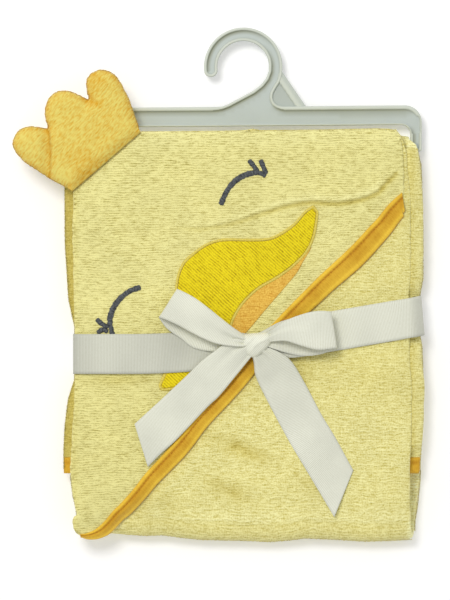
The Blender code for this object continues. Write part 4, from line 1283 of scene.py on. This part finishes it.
CROWN_OUTLINE = [
    (-49.7, 97.0), (-55.5, 114.2), (-59.1, 122.4), (-64.2, 131.6), (-69.3, 135.8), (-75.6, 137.1),
    (-81.2, 134.8), (-84.5, 129.8), (-84.2, 123.3), (-83.0, 118.7), (-84.9, 118.9),
    (-91.3, 122.1), (-98.6, 123.9), (-105.1, 122.0), (-109.3, 116.9), (-110.9, 110.5),
    (-110.3, 104.6), (-109.2, 100.3), (-111.4, 100.0), (-115.6, 100.5), (-121.6, 100.9),
    (-128.0, 98.0), (-131.3, 91.8), (-130.8, 86.6), (-127.1, 81.4), (-121.6, 76.5),
    (-112.4, 70.4), (-107.3, 67.3), (-100.5, 63.6), (-93.2, 59.4),
]
RIGHT_VALLEY = [(-83.0, 118.6), (-81.2, 116.6), (-78.6, 115.2), (-75.8, 115.2)]
DOWN_VALLEY = [(-83.0, 118.6), (-84.2, 112.0), (-84.6, 104.0)]
LEFT_VALLEY = [(-109.2, 100.4), (-107.9, 94.5), (-107.3, 80.0), (-107.6, 67.4)]
CROWN_MIDDLE, CROWN_HALF = 25.0, 6.6
LOBE_TRIM = 0.5
NAP_ANGLE = 50.0


def valley(x, y, line, wide_left, wide_right, fades):
    """1 on a crease between two lobes, falling to 0 beside it."""
    far, side, along = nearest(x, y, line)
    strength = hill(far, np.where(side > 0, wide_left, wide_right))
    return strength * ((1.0 - smooth(along / lengths(line)[-1])) if fades else 1.0)


def crown_valleys(x, y):
    near = 0.50 * valley(x, y, RIGHT_VALLEY, 1.7, 1.7, True)
    near = np.maximum(near, 0.28 * valley(x, y, DOWN_VALLEY, 1.2, 4.5, True))
    return np.maximum(near, 0.52 * valley(x, y, LEFT_VALLEY, 0.9, 5.0, False))


def crown():
    """The plush comb: a padded piece with three lobes, sewn into the hood's corner."""
    outline = even(curve_through(CROWN_OUTLINE, 5), 0.7)
    seam = even(np.array([CROWN_OUTLINE[-1], CROWN_OUTLINE[0]]), 0.7)[1:-1]
    outline = anticlockwise(np.vstack([outline, seam]))
    x, y = outline[:, 0], outline[:, 1]
    on_seam = from_seam(x, y) < 1.5
    ragged = np.where(on_seam, 0.0, 0.22 * noise(x, y, 0.9, 71) + 0.15 * noise(x, y, 3.1, 72))
    smaller = np.where(on_seam, 0.0, LOBE_TRIM)
    outline = beside(outline, (ragged - smaller)[:, None], closed=True)

    def height(x, y, d, side):
        round_up = rounded(d, 10.5)
        lumps = 0.45 * noise(x, y, 15, 73 + side) + 0.2 * noise(x, y, 6, 75 + side)
        u, v = turned(x, y, NAP_ANGLE)
        nap = 0.10 * noise(u * 0.35, v, 0.9, 77) + 0.08 * noise(u * 0.5, v, 2.1, 78)
        z = CROWN_HALF * round_up * (1.0 - crown_valleys(x, y)) + round_up * (lumps + nap)
        stand = 3.4 if side == 0 else 0.0
        return np.maximum(z, 0.05 + stand * smooth((6.0 - from_seam(x, y)) / 5.0))

    # Share of the light colour: painted shade round the rim, in the valleys and along the seam, painted
    # shade in two patches and a painted highlight in one.
    def painted_shade_share(x, y):
        d = np.maximum(depth_in(x, y, outline), 0.0)
        seams = np.minimum(nearest(x, y, LEFT_VALLEY)[0], nearest(x, y, RIGHT_VALLEY)[0])
        sewn = from_seam(x, y)
        rim = (1.0 - smooth(d / 4.5)) * smooth(sewn / 5.0)
        share = 0.76 - 0.30 * rim - 0.30 * hill(seams, 0.75)
        share = share - 0.25 * hill(seams, 3.2) - 0.16 * hill(sewn, 6.0)
        share = share - 0.35 * hill(np.hypot(x + 78.0, y - 130.0), 6.5)
        share = share - 0.25 * hill(np.hypot(x + 86.0, y - 76.0), 11.0)
        return share + 0.25 * hill(np.hypot(x + 101.0, y - 69.0), 7.0)

    # Painted shade along the seam and in the left valley.
    def painted_shading(x, y):
        sewn = from_seam(x, y)
        left = nearest(x, y, LEFT_VALLEY)[0]
        return 1.0 - 0.30 * hill(sewn, 0.9) - 0.08 * hill(sewn, 4.0) - 0.12 * hill(left, 0.8)

    plush = slab(
        "crown_plush", outline, (0.8, 0.8), [0.12, 0.4, 0.9, 1.6],
        lambda x, y, d: CROWN_MIDDLE + height(x, y, d, 0),
        lambda x, y, d: CROWN_MIDDLE - height(x, y, d, 1),
        [PLUSH], values={"swell": painted_shade_share, "painted_shading": painted_shading},
        uv=turned_uv(NAP_ANGLE),
    )
    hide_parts("crown_front_panel", "crown_back_panel", "crown_filling")
    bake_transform(plush)
    free = outline[from_seam(outline[:, 0], outline[:, 1]) > 2.0]
    hairs = fuzz("crown_fuzz", free, (24.0, 26.2), PLUSH, 0.24, 0.75, 7)
    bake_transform(hairs)


# ---------------------------------------------------------------- ribbon

# The band's middle line round the packet, then the two edges of each loop and tail.
BAND_PATH = [
    (-92.6, -44.3, 12.0), (-92.7, -44.3, 21.5), (-92.5, -44.3, 25.0), (-91.3, -44.3, 26.4),
    (-88.5, -44.3, 27.1), (-80.0, -44.3, 27.25), (-40.0, -44.0, 27.25), (0.0, -41.4, 27.25),
    (24.5, -38.0, 27.25), (45.0, -34.6, 27.25), (58.0, -32.4, 26.8), (66.0, -31.0, 25.0),
    (74.0, -29.6, 23.4), (84.0, -27.9, 23.1), (119.0, -21.9, 23.1), (123.6, -21.1, 23.0),
    (127.0, -20.5, 20.9), (130.0, -19.9, 17.6), (130.7, -19.7, 15.0), (130.5, -19.7, 11.0),
    (128.2, -20.0, 5.6), (125.6, -20.3, 2.0), (123.2, -20.5, 0.75), (117.0, -21.2, 0.65),
    (60.0, -27.5, 0.65), (0.0, -34.1, 0.65), (-84.0, -43.4, 0.65), (-91.2, -44.2, 0.65),
    (-92.3, -44.3, 1.9), (-92.6, -44.3, 5.0),
]
BAND_HALF = 0.22
# Painted light and shade on the band against x: painted shade on the left run and round the sides,
# lighter towards the right run.
BAND_SHADE = [(-92.5, 0.62), (-90.5, 0.70), (-87, 0.76), (-78, 0.81), (-45, 0.80), (-34, 0.70),
              (0, 0.82), (60, 0.94), (100, 0.97), (121, 0.93), (128, 0.80)]
LOOP_LEFT = {
    "lower": [(18.6, -39.8, 30.8), (2.0, -43.0, 29.4), (-14.8, -40.8, 28.6), (-24.0, -34.4, 28.6),
              (-32.6, -28.3, 29.4), (-37.2, -22.2, 31.5), (-36.8, -21.2, 34.5),
              (-26.8, -25.4, 36.8), (-15.6, -31.4, 37.2), (-2.0, -37.4, 36.2), (12.0, -39.4, 34.4),
              (19.6, -38.8, 32.4)],
    "upper": [(20.4, -34.6, 30.8), (2.0, -25.0, 29.4), (-8.0, -19.0, 28.6), (-16.0, -13.0, 28.6),
              (-22.0, -7.5, 29.4), (-26.0, -3.6, 31.5), (-25.4, -3.2, 34.5), (-15.6, -8.2, 36.8),
              (-5.6, -15.6, 37.2), (5.6, -24.6, 36.2), (14.6, -31.0, 34.4),
              (20.8, -33.8, 32.4)],
}
LOOP_RIGHT = {
    "lower": [(31.6, -39.8, 30.6), (42.0, -43.2, 29.4), (50.3, -45.1, 28.6), (58.0, -45.5, 28.6),
              (66.0, -44.2, 29.4), (73.4, -41.4, 31.5), (74.6, -40.6, 34.5), (63.2, -41.6, 36.8),
              (52.0, -38.8, 37.2), (42.0, -35.9, 36.2), (29.0, -36.8, 32.6)],
    "upper": [(31.6, -33.2, 30.6), (41.6, -26.0, 29.4), (48.6, -21.8, 28.6), (55.6, -19.6, 28.6),
              (62.4, -18.4, 29.4), (69.4, -17.6, 31.5), (71.4, -17.2, 34.5), (63.5, -16.8, 36.8),
              (54.6, -18.5, 37.2), (42.4, -23.2, 36.2), (29.4, -32.2, 32.6)],
}
TAIL_LEFT = {
    "lower": [(22.4, -43.4, 33.0), (18.6, -48.6, 31.6), (10.6, -58.6, 29.4), (0.6, -70.8, 28.4),
              (-7.8, -78.9, 28.0), (-26.3, -98.4, 27.4), (-36.0, -107.2, 27.4),
              (-45.1, -116.3, 27.4)],
    "upper": [(15.4, -35.0, 34.4), (8.3, -34.6, 34.6), (-1.0, -41.2, 33.2), (-10.6, -48.6, 31.0),
              (-20.5, -58.2, 28.8), (-36.0, -72.8, 27.6), (-45.0, -81.0, 27.4),
              (-53.6, -89.0, 27.4)],
}
TAIL_RIGHT = {
    "lower": [(21.4, -44.6, 31.4), (22.6, -50.4, 30.2), (23.6, -58.1, 28.2), (28.9, -69.9, 24.8),
              (39.8, -90.7, 23.5), (47.8, -105.0, 23.3), (56.0, -118.6, 23.3),
              (73.9, -148.6, 23.3)],
    "upper": [(29.6, -39.6, 31.4), (38.0, -42.8, 30.2), (46.2, -48.8, 28.2), (54.8, -62.5, 24.8),
              (65.0, -81.8, 23.5), (70.8, -91.4, 23.3), (75.7, -99.7, 23.3),
              (86.0, -118.6, 23.3)],
}
KNOT_OUTLINE = [
    (13.9, -35.6), (15.2, -32.8), (19.0, -31.4), (25.0, -30.9), (30.4, -30.6), (33.2, -32.0),
    (33.7, -35.0), (32.2, -38.6), (29.6, -41.4), (26.6, -44.2), (22.8, -46.4), (19.6, -45.6),
    (16.6, -42.4), (14.4, -39.0),
]
KNOT_X, KNOT_Y, KNOT_Z, KNOT_ANGLE = 24.0, -38.0, 31.0, 38.0


def ribbon_grid(left, right, spacing=1.1, across=15):
    """A grid between two edge lines, its rows about spacing apart, and their length along."""
    left, right = curve_through(left, 12), curve_through(right, 12)
    along = lengths((left + right) / 2)
    where = np.linspace(0, along[-1], int(along[-1] / spacing) + 2)
    left = np.stack([np.interp(where, along, left[:, k]) for k in range(3)], 1)
    right = np.stack([np.interp(where, along, right[:, k]) for k in range(3)], 1)
    share = np.linspace(0, 1, across)[None, :, None]
    return left[:, None, :] * (1 - share) + right[:, None, :] * share, where


def ribbon_piece(name, node, edges, relief):
    """A loop or a tail of the bow."""
    grid, along = ribbon_grid(edges["lower"], edges["upper"])
    share = np.linspace(-1, 1, grid.shape[1])[None, :]
    lift = relief(along[:, None], share)
    grid = grid + grid_normals(grid) * lift[..., None]
    uv = grid_uv(along, share[0] * RIBBON_WIDTH / 2)
    edge = 0.2 + 0.07 * (np.abs(share) > 0.9) + 0 * along[:, None]
    u, v = grid[..., 0] + grid[..., 1], grid[..., 1] - grid[..., 0]
    # Painted light and shade in soft patches along the piece.
    painted_shading = 0.97 + 0.06 * noise(u, v, 25, 97) + 0.03 * noise(u, v, 9, 98)
    piece = thick_grid(name, grid, edge, edge, [RIBBON], uv=uv, values={"painted_shading": painted_shading})
    fix_normals(piece)
    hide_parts(node)
    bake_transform(piece)


def ribbon_band():
    """The ribbon's run round the packet, a closed ring gathered under the knot."""
    path = even(closed_curve(BAND_PATH, 8), 1.6, closed=True)
    step = np.roll(path, -1, axis=0) - np.roll(path, 1, axis=0)
    side = np.zeros_like(path)
    flat = np.hypot(step[:, 0], step[:, 1])
    turn = np.where(step[:, 0] > 0, 1.0, -1.0)
    ease = smooth(np.minimum((path[:, 0] + 88) / 10, (122 - path[:, 0]) / 14))
    upright = 1e-6
    slope = -step[:, 1] * turn / np.maximum(flat, upright)
    slope = np.where(flat > upright, slope, 0.0) * ease
    side[:, 0] = slope
    side[:, 1] = np.sqrt(1 - slope**2)
    rows, columns = len(path), 13
    share = np.linspace(-1, 1, columns)
    front = (path[:, 2] > 22.5) & (path[:, 0] > -86) & (path[:, 0] < 118)
    gathered = np.exp(-(((path[:, 0] - 24.0) / 13.0) ** 2)) * front
    reach = np.outer(1.0 - 0.47 * gathered, share * RIBBON_WIDTH / 2)
    grid = path[:, None, :] + side[:, None, :] * reach[:, :, None]
    lean = smooth((path[:, 0] - 119.0) / 10.0)
    grid[..., 0] -= np.outer(lean, share * 1.1)
    wave = 0.16 * np.abs(noise(grid[..., 0], grid[..., 1], 17, 81)) * front[:, None]
    pleats = 0.35 * gathered[:, None] * (1.0 + np.cos(math.pi * share * 5.0)[None, :])
    grid[..., 2] += wave + pleats - 0.12 * (share[None, :] ** 4) * front[:, None]
    wrapped = np.concatenate([grid[-1:], grid, grid[:1]])
    normal = grid_normals(wrapped)[1:-1]
    top = (grid + normal * BAND_HALF).reshape(-1, 3)
    bottom = (grid - normal * BAND_HALF).reshape(-1, 3)
    n = rows * columns
    faces = grid_faces(rows, columns, closed=True)
    faces += grid_faces(rows, columns, n, flip=True, closed=True)
    for r in range(rows):
        q = (r + 1) % rows
        for c in (0, columns - 1):
            faces.append([r * columns + c, q * columns + c, n + q * columns + c, n + r * columns + c])
    uv = grid_uv(lengths(path), share * RIBBON_WIDTH / 2)
    x, y = grid[..., 0], grid[..., 1]
    painted_shading = at(BAND_SHADE, x) + 0.045 * noise(x * 1.6, y, 19, 83)
    band = make_object(
        "ribbon_round", np.vstack([top, bottom]), faces, [RIBBON],
        np.vstack([uv.reshape(-1, 2)] * 2), {"painted_shading": np.concatenate([painted_shading.ravel()] * 2)},
    )
    fix_normals(band)
    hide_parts("ribbon_band")
    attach(band, "towel")


def bow():
    """The knot, the two loops and the two tails."""
    outline = anticlockwise(even(closed_curve(KNOT_OUTLINE, 8), 0.5, closed=True))

    def pleats(x, y):
        lengthwise, across = turned(x - KNOT_X, y - KNOT_Y, KNOT_ANGLE)
        bend = across + 0.03 * lengthwise**2
        return 0.22 * np.cos(2 * math.pi * bend / 5.2) + 0.09 * np.cos(2 * math.pi * bend / 2.3 + 1)

    def top(x, y, d):
        dome = rounded(d, 7.4)
        return KNOT_Z + 5.4 * dome + dome * pleats(x, y) + 0.12 * (y - KNOT_Y) * dome

    def bottom(x, y, d):
        return KNOT_Z - 2.6 * rounded(d, 3.0)

    def along_wrap(p):
        return np.stack(turned(p[:, 0] - KNOT_X, p[:, 1] - KNOT_Y, KNOT_ANGLE), 1)

    # The knot is painted lighter than the ribbon, a painted highlight.
    knot = slab(
        "knot", outline, (0.45, 0.45), [0.15, 0.4, 0.8], top, bottom, [RIBBON], uv=along_wrap,
        values={"painted_shading": lambda x, y: 1.06 + 0.03 * noise(x, y, 4, 99)},
    )
    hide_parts("ribbon_knot")
    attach(knot, "towel")

    def loop_relief(total):
        def relief(along, share):
            root = np.exp(-along / 11.0) + np.exp(-(total - along) / 13.0)
            waves = 0.6 * np.cos(math.pi * (share * 1.6 + 0.3)) + 0.2 * np.cos(math.pi * share * 3.3)
            soft = 0.35 * noise(along + 0 * share, share * 9 + 0 * along, 14, 91)
            return root * waves + soft * (1 - root)

        return relief

    ribbon_piece(
        "loop_left", "ribbon_loop_left", LOOP_LEFT, loop_relief(105.0),
    )
    ribbon_piece(
        "loop_right", "ribbon_loop_right", LOOP_RIGHT, loop_relief(88.0),
    )

    def tail_relief(along, share):
        root = np.exp(-along / 13.0)
        waves = 1.1 * np.cos(math.pi * (share * 2.0 + 0.4)) + 0.5 * np.cos(math.pi * share * 3.6)
        soft = 0.5 * noise(along + 0 * share, share * 6 + 0 * along, 23, 95)
        return root * waves + np.abs(soft) * (1 - root)

    ribbon_piece(
        "tail_left", "ribbon_tail_left", TAIL_LEFT, tail_relief,
    )
    ribbon_piece(
        "tail_right", "ribbon_tail_right", TAIL_RIGHT, tail_relief,
    )


# ---------------------------------------------------------------- hanger

HOOK = (15.8, 140.0)
HOOK_IN, HOOK_OUT = 16.5, 25.2
HOOK_TIP = 186.0
CORNER_RADIUS, INNER_RADIUS = 11.0, 6.0
RIM_TOP, WEB_TOP = 2.5, 0.85
BRACE_TOP, BRACE_WEB = 2.0, 0.75
BAR_HALF_WIDE, BAR_HALF_HIGH = 2.75, 2.4
BAR_FROM, BAR_TO = -96.5, 128.0


def hanger_lines():
    """The moulding's outline, its hook, stem and frame in one, and the brace behind."""
    tip = math.radians(HOOK_TIP)
    mean = (HOOK_IN + HOOK_OUT) / 2
    tip_centre = (HOOK[0] + mean * math.cos(tip), HOOK[1] + mean * math.sin(tip))
    frame_left = [(-97.7, 84.6), (-98.6, 85.0), (-98.9, 86.0), (-98.9, 103.5)]
    frame_left += arc((-87.9, 103.5), CORNER_RADIUS, 180, 90, 10)
    frame_left += [(-2.0, 114.4), (2.0, 114.6), (6.0, 116.0), (14.0, 120.2), (22.0, 124.4)]
    frame_left += [(27.2, 128.4), (30.4, 132.4), (32.1, 137.0)]
    inner_hook = arc(HOOK, HOOK_IN, 4, HOOK_TIP, 40)
    tip_arc = arc(tip_centre, (HOOK_OUT - HOOK_IN) / 2, HOOK_TIP - 180, HOOK_TIP - 360, 14)
    outer_hook = arc(HOOK, HOOK_OUT, HOOK_TIP, 0, 48)
    stem = curve_through(
        [(41.0, 138.0), (40.5, 133.4), (39.0, 129.6), (36.4, 125.4), (34.9, 122.0), (34.9, 119.0),
         (36.2, 116.4), (38.6, 114.9), (41.8, 114.4)],
        8,
    )
    frame_right = arc((119.5, 103.4), CORNER_RADIUS, 90, 0, 10)
    frame_right += [(130.5, 86.0), (130.2, 85.0), (129.3, 84.6), (124.3, 84.6), (123.4, 85.0)]
    frame_right += [(123.1, 86.0)] + arc((117.1, 95.8), INNER_RADIUS, 0, 90, 8)
    frame_right += arc((-85.6, 95.8), INNER_RADIUS, 90, 180, 8)
    frame_right += [(-91.6, 86.0), (-91.9, 85.0), (-92.8, 84.6)]
    main = frame_left + inner_hook + tip_arc + outer_hook
    main += [tuple(p) for p in stem] + frame_right
    brace = [(39.0, 137.4), (41.0, 136.4), (55.9, 114.4), (54.0, 112.6), (40.0, 112.8)]
    brace += [(35.4, 116.0), (34.0, 120.0), (37.0, 129.0)]
    return even(main, 0.8, closed=True), even(brace, 0.8, closed=True)


def leaning(outline):
    """The moulding lies a little askew under the towel."""
    moved = np.array(outline)
    moved[:, 1] += 0.0085 * (moved[:, 0] - 20.0) - 0.15
    return moved


def rim_widths(x, y):
    """Width of the moulding's raised rim: widest on the top bar, narrowest beside the arms."""
    straight = np.maximum(smooth((6.0 - x) / 12.0), smooth((x - 36.0) / 8.0))
    top_bar = 2.0 + 0.8 * straight * (y < 117.5)
    return np.where(y > 108, top_bar, np.where(y > 97, 1.1, 1.9))


def hanger():
    """The retail hanger: one moulding with raised rims, its hook's brace and its lower bar."""
    main, brace = (leaning(line) for line in hanger_lines())
    slope = [(41.2, 135.9), (55.9, 114.4)]

    def rim(x, y):
        inside = depth_in(x, y, main)
        width = rim_widths(x, y)
        share = np.clip(inside / width, 0.0, 1.0)
        return np.sqrt(np.maximum(0.0, 1.0 - (2 * share - 1.0) ** 4)), inside - width

    def height(x, y, d):
        crest, _ = rim(x, y)
        return WEB_TOP + (RIM_TOP - WEB_TOP) * crest

    # Painted shade on the web at the foot of each rim, strongest on the side away from the lamp.
    def corner(x, y):
        past = rim(x, y)[1]
        inside, step = depth_in(x, y, main), 0.05
        slope_x = (depth_in(x + step, y, main) - inside) / step
        slope_y = (depth_in(x, y + step, main) - inside) / step
        lee = np.clip(0.12 + 0.65 * slope_x - 0.76 * slope_y, 0.0, 1.0)
        return 0.95 * lee * hill(np.maximum(past, 0.0) - 0.3, 1.5) * (past > -0.4)

    body = slab(
        "hanger_moulding", main, (2.4, 2.4), [0.1, 0.3, 0.6, 1.0, 1.5, 1.9, 2.3, 2.8, 3.3, 4.0],
        lambda x, y, d: HANGER_Z + height(x, y, d), lambda x, y, d: HANGER_Z - height(x, y, d),
        [PLASTIC], values={"relief": lambda x, y: rim(x, y)[0], "corner": corner},
    )

    def flange(x, y):
        far = nearest(x, y, slope)[0]
        ridges = 1.0 - 0.45 * smooth((1.9 - far) / 0.5) - 0.3 * hill(far - 2.0, 0.35)
        return smooth((5.5 - far) / 0.5) * ridges

    def brace_height(x, y, d):
        rise = BRACE_WEB + (BRACE_TOP - BRACE_WEB) * flange(x, y)
        return rise * (0.4 + 0.6 * rounded(d, 0.5))

    web = slab(
        "hanger_brace", brace, (0.6, 0.6), [0.15, 0.4],
        lambda x, y, d: HANGER_Z + brace_height(x, y, d),
        lambda x, y, d: HANGER_Z - brace_height(x, y, d),
        # corner gives painted shade on the brace's web away from its flange.
        [PLASTIC], values={"relief": flange, "corner": lambda x, y: 0.25 * (1.0 - flange(x, y))},
    )
    rings, around = 60, 20
    turn = 2 * math.pi * np.arange(around) / around
    points = [
        (x, BAR_Y + BAR_HALF_WIDE * math.cos(a), HANGER_Z + BAR_HALF_HIGH * math.sin(a))
        for x in np.linspace(BAR_FROM, BAR_TO, rings)
        for a in turn
    ]
    bar = make_object("hanger_lower_bar", points, tube_faces(rings, around), [PLASTIC])
    fix_normals(bar)
    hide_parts("hanger")
    for piece in (body, web, bar):
        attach(piece, "hanger")


# ---------------------------------------------------------------- stage

WHITE = (1.0, 1.0, 1.0, 1.0)
FLOOR_COLOUR, FLOOR_GLOW = (0.87, 0.87, 0.88, 1.0), 0.22
FLOOR_HALF, FLOOR_Z = 12000.0, -0.3
# Strength of the sky at the horizon and higher up, and the upward share where it settles.
SKY_LOW, SKY_HIGH, SKY_SETTLES = 0.74, 0.585, 0.22
KEY_SIZE, KEY_POWER, KEY_COLOUR = 0.93, 30.2, (1.0, 0.985, 0.96)
KEY_PLACE = (-0.646, 0.952, 2.312)
# The camera looks straight down: frame height at the given height above the surface.
LENS, SENSOR = 250.0, 36.0
FRAME_HEIGHT, FRAME_Z = 384.0, 17.0
FRAME_MIDDLE = (4.1, -9.9)
NEAREST_SEEN, FARTHEST_SEEN = 0.05, 50.0


def stage():
    """A white floor, an even white sky and one large lamp high up on the left."""
    floor_look = bpy.data.materials.new("floor")
    floor_look.use_nodes = True
    shader = floor_look.node_tree.nodes["Principled BSDF"]
    shader.inputs["Base Color"].default_value = FLOOR_COLOUR
    shader.inputs["Emission Color"].default_value = WHITE
    shader.inputs["Emission Strength"].default_value = FLOOR_GLOW
    shader.inputs["Roughness"].default_value = 1.0
    shader.inputs["Specular IOR Level"].default_value = 0.0
    corners = [(-1, -1), (1, -1), (1, 1), (-1, 1)]
    corners = [(FLOOR_HALF * across, FLOOR_HALF * up, FLOOR_Z) for across, up in corners]
    floor = make_object("floor", corners, [[0, 1, 2, 3]], [floor_look])
    world = bpy.data.worlds.new("studio")
    bpy.context.scene.world = world
    world.use_nodes = True
    tree = world.node_tree
    upward = add(tree, "ShaderNodeTexCoord").outputs["Generated"]
    upward = add(tree, "ShaderNodeSeparateXYZ", {0: upward}).outputs[2]
    glow = {"Value": upward, "From Max": SKY_SETTLES, "To Min": SKY_LOW, "To Max": SKY_HIGH}
    glow = add(tree, "ShaderNodeMapRange", glow).outputs[0]
    sky = tree.nodes["Background"]
    tree.links.new(glow, sky.inputs["Strength"])
    sky.inputs["Color"].default_value = WHITE
    lamp = bpy.data.lights.new("key", "AREA")
    lamp.shape = "DISK"
    lamp.size = KEY_SIZE
    lamp.energy = KEY_POWER
    lamp.color = KEY_COLOUR
    key = bpy.data.objects.new("key", lamp)
    key.location = KEY_PLACE
    key.rotation_mode = "QUATERNION"
    key.rotation_quaternion = (-key.location).to_track_quat("-Z", "Y")
    bpy.context.scene.collection.objects.link(key)
    view = bpy.context.scene.view_settings
    view.view_transform = "Standard"
    view.look = "None"
    view.exposure = 0.0
    view.gamma = 1.0


def camera():
    made = bpy.data.cameras.new("photo_camera")
    made.lens = LENS
    made.sensor_width = SENSOR
    made.clip_start, made.clip_end = NEAREST_SEEN, FARTHEST_SEEN
    eye = bpy.data.objects.new("photo_camera", made)
    above = FRAME_Z + FRAME_HEIGHT / SENSOR * LENS
    eye.location = (FRAME_MIDDLE[0] * MM, FRAME_MIDDLE[1] * MM, above * MM)
    eye.rotation_euler = (0.0, 0.0, 0.0)
    bpy.context.scene.collection.objects.link(eye)
    bpy.context.scene.camera = eye


camera()
stage()
towel_sheet()
hem_tape()
hood_panel()
hood_binding()
face_details()
crown()
ribbon_band()
bow()
hanger()
packet_fuzz()
